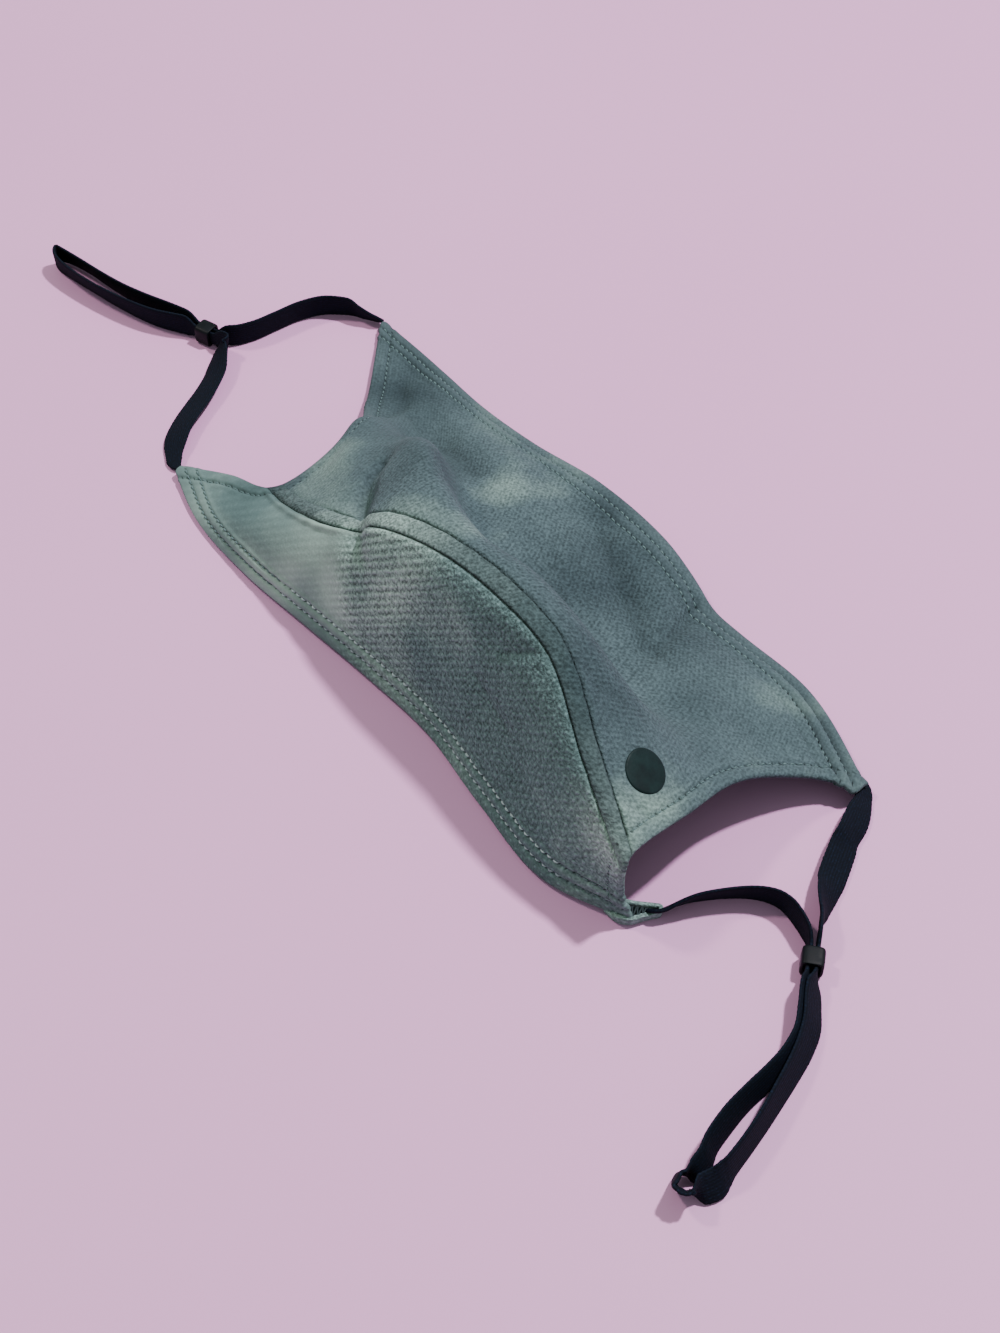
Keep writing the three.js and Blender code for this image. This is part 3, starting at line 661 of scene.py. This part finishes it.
# the wall rounds off in a half circle at every free edge
halfWall = cloth["thickness"] / 2
fullness = np.clip(np.minimum(fromHem, fromSide) / halfWall, 0, 1)
fullness = np.sqrt(np.clip(1 - (1 - fullness) ** 2, 0, 1))[..., None]
outer = outerFace - faceNormals * halfWall * (1 - fullness)
inner = outerFace - faceNormals * halfWall * (1 + fullness)
# what would reach under the table lies on it instead
outer[..., 2] = np.maximum(outer[..., 2], 0.02)
inner[..., 2] = np.maximum(inner[..., 2], 0.0)

# the dye runs, so its patches are looked up at a wandering place
wander = np.stack([np.sin(smooth[..., 0] / 11 + 1.7 * np.sin(smooth[..., 1] / 9)),
                   np.sin(smooth[..., 1] / 8 + 1.3 * np.sin(smooth[..., 0] / 13)),
                   np.sin(smooth[..., 0] / 7 + smooth[..., 2] / 10)], -1)
dyedPlace = smooth + 3.5 * wander
dyeAndShade = np.zeros(smooth.shape[:2])
for section, line, radius, tone in dyeAndShadePatches:
    dyeAndShade += tone * np.exp(-np.sum((dyedPlace - spotAt(section, line)) ** 2, -1) / radius ** 2)
# painted highlight on the band and on the lower panel's rounded edge under it, in the left third
dyeAndShade += 0.35 * leftness * (1 - atLeftEnd) * np.where(isLower, bell(beyondBand - 1.2, 1.6), isBand)
# painted shade on the band at its left end and from section 4.2 to its right end
dyeAndShade -= 0.5 * isBand * edge(4.2 - sectionOf, 0.4) + 0.5 * isBand * edge(sectionOf - 2.12, 0.05)
dyeAndShade += 0.1 * edge(fromHem - 9, 0.6) * fromChinwards
dyeAndShade = np.clip(dyeAndShade, -1, 1)

# the lower knit runs at a slant over its panel, the upper one follows the rows
panelUp = unit(np.array([0.1, 0.3, 0.95]))
panelAlong = np.array([1.0, 0, 0])
slant = np.radians(41)
courses = np.cos(slant) * panelAlong + np.sin(slant) * panelUp
wales = -np.sin(slant) * panelAlong + np.cos(slant) * panelUp
lowerUv = np.stack([smooth @ courses, smooth @ wales], -1)
upperUv = np.stack([alongRow, rowLengths], -1)
seamUv = np.stack([alongSeam, fromBand], -1)
# the nearest stitch row: length along it, and distance from it
fromSideRow = np.abs(fromSide - relief["sideStitch"])
stitchUv = np.stack([np.where(fromHemRow < fromSideRow, alongRow, rowLengths),
                     np.minimum(fromHemRow, fromSideRow)], -1)


def shellPiece(name, part, material, knitUv):
    # both faces of the cloth as one closed loft: each ring goes out along a column and back inside
    n, m = outer[part].shape[:2]

    def thereAndBack(layers, inside=None):
        # what the outer face has, and then the same or another layer in the opposite order
        back = layers if inside is None else inside
        return np.concatenate([layers[part], back[part][:, ::-1]], axis=1)

    points = thereAndBack(outer, inner)
    k = np.arange(m - 1)
    first = np.stack([k, k + 1, 2 * m - 2 - k, 2 * m - 1 - k], -1)
    last = first[:, ::-1] + (n - 1) * 2 * m
    points = points.reshape(-1, 3)
    faces = facingOut(points, np.concatenate([gridFaces(n, 2 * m, wrapRows=True), first, last]))
    uvs = {"cloth": knitUv, "seam": seamUv, "stitches": stitchUv}
    values = {"dyeAndShade": dyeAndShade, "shadow": shadow, "rib": ribs, "seamLine": seamLine, "slack": slack}
    return makePiece(name, points, faces, material,
                     {key: thereAndBack(uv) for key, uv in uvs.items()},
                     {key: thereAndBack(value) for key, value in values.items()})


def pique(tree, u, v):
    # small raised loops in staggered rows: where cos(2 pi u / 2.9) cos(pi v / 1.75) nears 1, on rows
    # cos(2 pi v / 1.75), over slanted yarns 1 mm apart (0.6 on the real one, too fine to show)
    rib = addNode(tree, "Attribute", output="Fac", attribute_name="rib")
    row = ripple(tree, v, 1.75)
    loops = addNode(tree, "Math", (ripple(tree, u, 2.9), ripple(tree, v, 3.5)), operation="MULTIPLY")
    loops = addNode(tree, "MapRange", (loops, 0.45, 1.0, 0.0, 3.6))
    # the loops stand only on the rows, and lower where the ribs show
    for limit in ((row, -0.4, 1.0, 0.0, 1.0), (rib, 0.2, 1.0, 1.0, 0.45)):
        loops = addNode(tree, "Math", (loops, addNode(tree, "MapRange", limit)), operation="MULTIPLY")
    slanted = addNode(tree, "Math", (v, -0.76), operation="MULTIPLY")
    slanted = addNode(tree, "Math", (u, 0.424, slanted), operation="MULTIPLY_ADD")
    yarns = ripple(tree, slanted, 0.85)
    yarnHeight = addNode(tree, "MapRange", (rib, 0.2, 1.0, 0.2, 0.08))
    height = addNode(tree, "Math", (yarns, yarnHeight, loops), operation="MULTIPLY_ADD")
    ribHeight = addNode(tree, "Math", (row, rib), operation="MULTIPLY")
    return addNode(tree, "Math", (ribHeight, 0.8, height), operation="MULTIPLY_ADD")


def interlock(tree, u, v):
    # faint wales 1.3 mm apart under the brushed face: 0.35 cos(2 pi u / 1.3)
    return addNode(tree, "Math", (ripple(tree, u, 1.3), 0.35), operation="MULTIPLY")


def knitMaterial(name, knit, colours, grain, contrast):
    # polyester knit: matt, a faint fuzz at grazing angles, a mottled dye and painted shade in the folds
    material, tree, shader = newMaterial(name)
    _, u, v = uvSplit(tree, "cloth")
    place = addNode(tree, "TexCoord", output="Object")
    dyeAndShadeHere, slackHere, shadowHere, seamHere = (
        addNode(tree, "Attribute", output="Fac", attribute_name=value)
        for value in ("dyeAndShade", "slack", "shadow", "seamLine"))
    # clouds up to 17 mm across, with finer ones in them, break up the edges of the dye
    cloud = addNode(tree, "TexNoise", {"Vector": place, "Scale": 60.0, "Detail": 4.0, "Roughness": 0.55})
    cloud = addNode(tree, "Math", (cloud, 0.5), operation="SUBTRACT")
    tone = addNode(tree, "Math", (cloud, 0.9, dyeAndShadeHere), operation="MULTIPLY_ADD")
    tone = addNode(tree, "MapRange", (tone, -1.0, 1.0, 0.0, 1.0))
    base = addNode(tree, "ValToRGB", (tone,), stops=list(zip((0.0, 0.5, 1.0), colours)))
    # the yarn: loops that catch the light, and fuzz between them
    fuzz = addNode(tree, "TexNoise", {"Vector": place, "Scale": grain["scale"], "Detail": 1.0,
                                      "Roughness": 0.55})
    fuzz = addNode(tree, "MapRange", (fuzz, 0.3, 0.7, -grain["strength"], grain["strength"]))
    height = addNode(tree, "Math", (fuzz, knit(tree, u, v)), operation="ADD")
    height = addNode(tree, "Math", (height, slackHere), operation="MULTIPLY")
    yarn = addNode(tree, "MapRange", (height, -1.5, 1.5, *contrast))
    # dark seam lines exp(-(distance / width)^2), with a stitch every 0.9 mm and painted shade in the groove
    _, alongSeamNode, fromBandNode = uvSplit(tree, "seam")
    width = addNode(tree, "Math", (ripple(tree, alongSeamNode, 0.9), 0.07, 0.3), operation="MULTIPLY_ADD")
    close = addNode(tree, "Math", (fromBandNode,), operation="ABSOLUTE")
    close = addNode(tree, "Math", (close, width), operation="DIVIDE")
    close = addNode(tree, "Math", (close, 2.0), operation="POWER")
    close = addNode(tree, "Math", (close, -1.0), operation="MULTIPLY")
    seamStitchAndShade = addNode(tree, "Math", (close,), operation="EXPONENT")
    seamStitchAndShade = addNode(tree, "Math", (seamStitchAndShade, seamHere), operation="MULTIPLY")
    # a thread hole every 2 mm along the stitch rows
    _, alongStitch, fromStitch = uvSplit(tree, "stitches")
    hole = addNode(tree, "Math", (ripple(tree, alongStitch, 2.0), 0.72), operation="GREATER_THAN")
    onRow = addNode(tree, "MapRange", (fromStitch, 0.2, 0.5, 1.0, 0.0))
    hole = addNode(tree, "Math", (hole, onRow), operation="MULTIPLY")
    hole = addNode(tree, "Math", (hole, 0.65), operation="MULTIPLY")
    dark = addNode(tree, "Math", (seamStitchAndShade, 0.52, hole), operation="MULTIPLY_ADD")
    # painted shade: the creases, grooves and stitch rows darken the colour
    dark = addNode(tree, "Math", (shadowHere, 0.3, dark), operation="MULTIPLY_ADD")
    light = addNode(tree, "MapRange", (dark, 0.0, 1.0, 1.0, 0.12))
    shade = addNode(tree, "Math", (yarn, light), operation="MULTIPLY")
    setInputs(shader, {
        "Base Color": addNode(tree, "VectorMath", (base, shade), operation="MULTIPLY"),
        "Roughness": 0.95, "Specular IOR Level": 0.08,
        "Sheen Weight": 0.08, "Sheen Roughness": 0.5, "Sheen Tint": linear("#9fb4b0"),
        "Normal": addNode(tree, "Bump", {"Height": height, "Strength": 0.55, "Distance": 0.00014})})
    return material


# the lower knit's ribs show most on the left half of the dome
ribs = 0.15 + 0.85 * edge(sectionOf - 3.9, 0.5)
# how much the knit shows: little where the cloth is stretched flat at its left end, less on the hems
flatLeft = edge(sectionOf - 3.85 + 0.8 * np.clip(rowLines, 0.3, 2), 0.07)
slack = 1 - 0.85 * isLower * flatLeft - 0.4 * isUpper * edge(sectionOf - 2.2, 0.4)
slack *= (1 - 0.4 * edge(fromHem - 9, 0.4)) * (1 - 0.2 * edge(6.3 - sectionOf, 0.3))
pieces = {
    "lower_panel": {
        "part": np.s_[:, :lowerEnd], "uv": lowerUv, "knit": pique, "slot": "lower_knit",
        "grain": {"scale": 1500.0, "strength": 1.2}, "contrast": (0.42, 1.7),
        "colours": ("#283a3c", "#4d6161", "#849a92")},
    "seam_band": {
        "part": np.s_[:, lowerEnd:upperStart], "uv": upperUv, "knit": interlock, "slot": "band_knit",
        "grain": {"scale": 1250.0, "strength": 1.2}, "contrast": (0.5, 1.5),
        "colours": ("#2d3b3e", "#4d5c5c", "#89a19a"), "turned": 2.04},
    "upper_panel": {
        "part": np.s_[:, upperStart:], "uv": upperUv, "knit": interlock, "slot": "upper_knit",
        "grain": {"scale": 1350.0, "strength": 1.2}, "contrast": (0.55, 1.45),
        "colours": ("#242f34", "#425155", "#7a9189")},
}
clothLooks = {}
for node, look in pieces.items():
    clothLooks[node] = knitMaterial(f"{node.replace('_', ' ')} knit", look["knit"], look["colours"],
                                    look["grain"], look["contrast"])
    piece = shellPiece(f"{node}_cloth", look["part"], clothLooks[node], look["uv"])
    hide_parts(node)
    # its flat size is measured over the smooth surface; the band's edges are turned under, so its
    # tape is cut about twice as wide
    flat = smooth[look["part"]]
    times = look.get("turned", 1)
    width, length = travelled(flat.swapaxes(0, 1))[-1].max() * times, travelled(flat)[-1].max()
    print(node, "made with", len(piece.data.polygons), "faces, cut", round(width), "x", round(length), "mm")


def threadMaterial(name, dark, light):
    # twisted polyester thread: a slight gloss and fine turns of its plies
    material, tree, shader = newMaterial(name)
    place = addNode(tree, "TexCoord", output="Object")
    plies = addNode(tree, "TexNoise", {"Vector": place, "Scale": 5200.0, "Detail": 1.0, "Roughness": 0.55})
    setInputs(shader, {
        "Base Color": addNode(tree, "ValToRGB", (plies,), stops=[(0.3, dark), (0.7, light)]),
        "Roughness": 0.6, "Specular IOR Level": 0.35,
        "Normal": addNode(tree, "Bump", {"Height": plies, "Strength": 0.4, "Distance": 0.00005})})
    return material


def stitchPiece(name, rows, look, material):
    # each stitch is a short tube along its row, highest in the middle (rise * (1 - t^2)) and
    # thinner at its ends, where it goes into the cloth; it lies half a pitch past a needle hole
    t = np.linspace(-1, 1, 5)
    turn = circle(look["around"])
    everyPoint = []
    for path, normals, steps in rows:
        number = np.arange(np.ceil(steps[0] / look["pitch"]), np.floor(steps[-1] / look["pitch"]) - 1)
        at = (number[:, None] + 0.5) * look["pitch"] + t * look["length"] / 2
        centre, up = (np.stack([np.interp(at, steps, row[:, k]) for k in range(3)], -1)
                      for row in (path, normals))
        up = unit(up)
        side = unit(np.cross(up, np.gradient(centre, axis=1)))
        centre = centre + up * (look["rise"] * (1 - t ** 2) - look["sink"])[:, None]
        radius = (look["radius"] * np.sqrt(1 - 0.85 * t ** 2))[:, None, None]
        rings = centre[:, :, None] + radius * (np.cos(turn)[:, None] * side[:, :, None]
                                               + np.sin(turn)[:, None] * up[:, :, None])
        tips = centre[:, [0, -1]]
        everyPoint.append(np.concatenate([rings.reshape(len(at), -1, 3), tips], axis=1))
    points = np.concatenate(everyPoint)
    quads, caps = closedTube(points[0], len(t), look["around"])
    first = np.arange(len(points))[:, None, None] * points.shape[1]
    faces = (quads + first).reshape(-1, 4).tolist() + (caps + first).reshape(-1, 3).tolist()
    makePiece(name, points, faces, material)


hemThread = {"pitch": 2.0, "length": 1.45, "radius": 0.24, "rise": 0.26, "sink": 0.0, "around": 6}
sideThread = {"pitch": 2.0, "length": 1.2, "radius": 0.17, "rise": 0.12, "sink": 0.03, "around": 6}
lightThread = threadMaterial("light polyester thread", "#8da3a6", "#b6c7ca")
middleThread = threadMaterial("grey green polyester thread", "#3c5053", "#5d7676")
darkThread = threadMaterial("dark polyester thread", "#1d282b", "#2f3d3f")


def besideEdge(columnsThere, rowsThere):
    # the outer face, its normals and the length up it, one stitch margin from a side edge on each row
    distance = fromSide[columnsThere][:, rowsThere].T
    at = np.array([np.interp(relief["sideStitch"], row, np.arange(len(row))) for row in distance])
    low, row = np.floor(at).astype(int), np.arange(len(at))

    def between(grid):
        # the grid's values there, linear between its columns
        there = grid[columnsThere][:, rowsThere]
        return (there[low, row].T * (1 - (at - low)) + there[low + 1, row].T * (at - low)).T

    return between(outer), between(faceNormals), between(rowLengths)


def hemRow(columnsThere, row):
    # the outer face, its normals and the length along it, on one row
    return outer[columnsThere, row], faceNormals[columnsThere, row], alongRow[columnsThere, row]


# the hem stitches stop short of the side edges, and the side stitches short of hems and band
hemAt = [int(np.argmin(np.abs(hemSteps - rowAt))) for rowAt in relief["stitchRows"]]
palerSections = (2.5, 7.3)  # between these the chin hem is sewn with a light thread
palerFrom, palerTo = np.searchsorted(columns, palerSections)
chinEnds = [hemRow(part, k) for part in (np.s_[8:palerFrom], np.s_[palerTo:-8]) for k in hemAt]
chinMiddle = [hemRow(np.s_[palerFrom:palerTo], k) for k in hemAt]
noseRows = [hemRow(np.s_[8:-8], -1 - k) for k in hemAt]
sides = np.s_[:near], np.s_[:-near - 1:-1]
lowerSides = [besideEdge(side, np.s_[14:lowerEnd - 6]) for side in sides]
upperSides = [besideEdge(side, np.s_[upperStart + 6:-14]) for side in sides]
stitchPiece("chin_hem_stitches_ends", chinEnds, hemThread, middleThread)
stitchPiece("chin_hem_stitches_middle", chinMiddle, hemThread, lightThread)
stitchPiece("nose_hem_stitches", noseRows, hemThread, middleThread)
stitchPiece("lower_side_stitches", lowerSides, sideThread, middleThread)
stitchPiece("upper_side_stitches", upperSides, sideThread, middleThread)
print("stitches made")

# where the right loop goes into the chin corner, the hem is turned up round it as a small cup:
# x, y and the height of its rim, round the near wall, the tip and the far wall
cup = {"halfWall": 0.45, "roll": 0.25, "bottom": 0.15, "steps": 90, "around": 24}
cupPath = np.array([
    (88.9, -37.7, 1.6), (91.2, -37.8, 2.4), (93.3, -37.2, 3.0), (94.9, -35.6, 2.9), (95.9, -33.0, 2.8),
    (96.8, -30.8, 2.7), (97.4, -29.3, 2.8), (96.9, -28.7, 3.2), (95.9, -29.8, 3.8), (94.8, -31.3, 4.3),
    (93.2, -33.4, 5.0), (91.4, -35.6, 6.0)])
# the overlock thread runs from wall to wall below the rim, each stretch ending "margin" of the way in
overlock = {"radius": 0.22, "turns": 7, "around": 8, "drop": 0.5, "margin": 0.15}


def cupWall():
    # a wall along the path: its section is a tall oval, and its half thickness d mm below the rim is
    # halfWall + roll * exp(-((d - 0.4) / 0.9)^2)
    spot = curveThrough(cupPath, np.linspace(0, len(cupPath) - 1, cup["steps"]))
    side = levelSide(spot)
    out, up = squared(circle(cup["around"]), 0.6)
    z = cup["bottom"] + (up + 1) / 2 * (spot[:, 2:] - cup["bottom"])
    thick = cup["halfWall"] + cup["roll"] * bell(spot[:, 2:] - z - 0.4, 0.9)
    rings = spot[:, None] + side[:, None] * (out * thick)[..., None]
    rings[..., 2] = z
    return rings


def sweptTube(path, radius, around):
    # a round tube of one radius along a path of points
    tangent = unit(np.gradient(path, axis=0))
    side = unit(np.cross(tangent, np.array([0.2, 0.1, 1.0])))
    up = np.cross(side, tangent)
    turn = circle(around)[:, None]
    return path[:, None] + radius * (np.cos(turn) * side[:, None] + np.sin(turn) * up[:, None])


rings = cupWall()
cupUv = np.stack(np.broadcast_arrays(travelled(rings[:, 0])[:, None], 0.5 * np.arange(cup["around"])), -1)
cupUv = np.concatenate([cupUv.reshape(-1, 2), np.zeros((2, 2))])
farAway = np.full_like(cupUv, 9.0)  # no seam and no stitch row is near
# painted shade: the wall's inner side is darkened below its rim
turn = circle(cup["around"])
inShade = (np.sin(turn) < 0.8) & (np.cos(turn) < 0.1)
cupShadow = np.append(np.tile(2.4 * inShade, cup["steps"]), [0, 0])
tubePiece("chin_corner_cup", rings, clothLooks["lower_panel"],
          {"cloth": cupUv, "seam": farAway, "stitches": farAway},
          {"dyeAndShade": 0.3, "shadow": cupShadow, "rib": 0.3, "seamLine": 0.0, "slack": 0.8})
turns = np.linspace(0, 1, overlock["turns"] * 2 + 1)
nearWall = curveThrough(cupPath, 2.2 + 3.0 * turns)
farWall = curveThrough(cupPath, 10.8 - 3.2 * turns)
across = np.where(np.arange(len(turns)) % 2 == 0, overlock["margin"], 1 - overlock["margin"])[:, None]
zigzag = nearWall * (1 - across) + farWall * across
zigzag[:, 2] -= overlock["drop"]
zigzag = curveThrough(zigzag, np.linspace(0, len(zigzag) - 1, 12 * len(zigzag)))
overlockRings = sweptTube(zigzag, overlock["radius"], overlock["around"])
tubePiece("chin_corner_overlock", overlockRings, darkThread)
print("corner cup made")

# the printed disc follows the cloth: a polar grid, round as seen along the surface's normal, whose
# places on the cloth are found by a few steps down the two slopes of the surface
disc = {"section": 7.45, "line": 2.74, "radius": 5.25, "around": 96, "raised": 0.3}
discProfile = np.array([(0.12, 1), (0.3, 1), (0.5, 1), (0.75, 1), (0.9, 1), (0.96, 0.95), (0.99, 0.75),
                        (1.0, 0.4), (1.0, -1.5)])  # share of the radius, share of the height


def slopeAt(section, line, step):
    # how the surface moves per section and per line, by central differences
    return ((spotAt(section + step[0], line + step[1]) - spotAt(section - step[0], line - step[1]))
            / (2 * sum(step)))


discCentre = spotAt(disc["section"], disc["line"])
alongSlope = slopeAt(disc["section"], disc["line"], (0.02, 0))
acrossSlope = slopeAt(disc["section"], disc["line"], (0, 0.02))
discNormal = unit(np.cross(alongSlope, acrossSlope))
axisOne = unit(alongSlope)
axisTwo = np.cross(discNormal, axisOne)
turn = circle(disc["around"])
wanted = np.stack([disc["radius"] * discProfile[:, :1] * np.cos(turn),
                   disc["radius"] * discProfile[:, :1] * np.sin(turn)]).reshape(2, -1)
slopes = np.array([[axis @ alongSlope, axis @ acrossSlope] for axis in (axisOne, axisTwo)])
offsets = np.linalg.solve(slopes, wanted)
for _ in range(6):
    onCloth = smoothPoints(disc["section"] + offsets[0], disc["line"] + offsets[1][:, None])
    away = onCloth[:, 0] - discCentre
    offsets = offsets + np.linalg.solve(slopes, wanted - np.stack([away @ axisOne, away @ axisTwo]))
height = np.repeat(disc["raised"] * discProfile[:, 1], disc["around"])[:, None]
rings = onCloth[:, 0] + discNormal * (height - foldDepth(onCloth, discNormal))
rings = rings.reshape(len(discProfile), disc["around"], 3)


def printMaterial():
    # a dark rubbery print on knit: the weave's grain shows through it, and fine dust lies on it
    material, tree, shader = newMaterial("transfer print")
    place = addNode(tree, "TexCoord", output="Object")
    weave = addNode(tree, "TexNoise", {"Vector": place, "Scale": 1500.0, "Detail": 2.0, "Roughness": 0.55})
    dust = addNode(tree, "TexNoise", {"Vector": place, "Scale": 260.0, "Detail": 3.0, "Roughness": 0.55})
    setInputs(shader, {
        "Base Color": addNode(tree, "ValToRGB", (dust,), stops=[(0.35, "#081718"), (0.75, "#0f2323")]),
        "Roughness": addNode(tree, "MapRange", (weave, 0.3, 0.7, 0.45, 0.65)), "Specular IOR Level": 0.12,
        "Normal": addNode(tree, "Bump", {"Height": weave, "Strength": 0.35, "Distance": 0.0001})})
    return material


badge = tubePiece("round_patch_print", rings, printMaterial())
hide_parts("round_patch")
print("disc made")


def floorMaterial():
    # smooth pale table top: a soft pinkish mauve with a hardly visible cloudiness
    material, tree, shader = newMaterial("pale floor")
    place = addNode(tree, "TexCoord", output="Object")
    cloudy = addNode(tree, "TexNoise", {"Vector": place, "Scale": 3.0, "Detail": 2.0, "Roughness": 0.55})
    setInputs(shader, {
        "Base Color": addNode(tree, "ValToRGB", (cloudy,), stops=[(0.3, "#c98fbe"), (0.7, "#cd95c2")]),
        "Roughness": 0.55, "Specular IOR Level": 0.3})
    return material


bpy.ops.mesh.primitive_plane_add(size=4)
floor = bpy.context.object
floor.name = "floor"
floor.data.materials.append(floorMaterial())

# soft studio light: two round lamps and an even, slightly green fill from all sides
lampDistance = 1.4
fill = {"colour": "#d8f0df", "strength": 0.62}
lights = {
    "left lamp": {"towards": (-0.63, -0.30, 1.0), "size": 0.16, "watts": 9.5, "colour": "#fff1ea"},
    "right lamp": {"towards": (0.13, 0.49, 1.0), "size": 0.10, "watts": 32.0, "colour": "#fbf2fb"},
}
for name, lamp in lights.items():
    data = bpy.data.lights.new(name, "AREA")
    data.shape = "DISK"
    data.size = lamp["size"]
    data.energy = lamp["watts"]
    data.color = linear(lamp["colour"])[:3]
    light = bpy.data.objects.new(name, data)
    towards = Vector(lamp["towards"]).normalized()
    light.location = towards * lampDistance
    light.rotation_euler = towards.to_track_quat("Z", "Y").to_euler()
    bpy.context.scene.collection.objects.link(light)
world = bpy.data.worlds.new("studio")
world.use_nodes = True
background = world.node_tree.nodes["Background"]
background.inputs[0].default_value = linear(fill["colour"])
background.inputs[1].default_value = fill["strength"]
bpy.context.scene.world = world
print("floor and lamps placed")
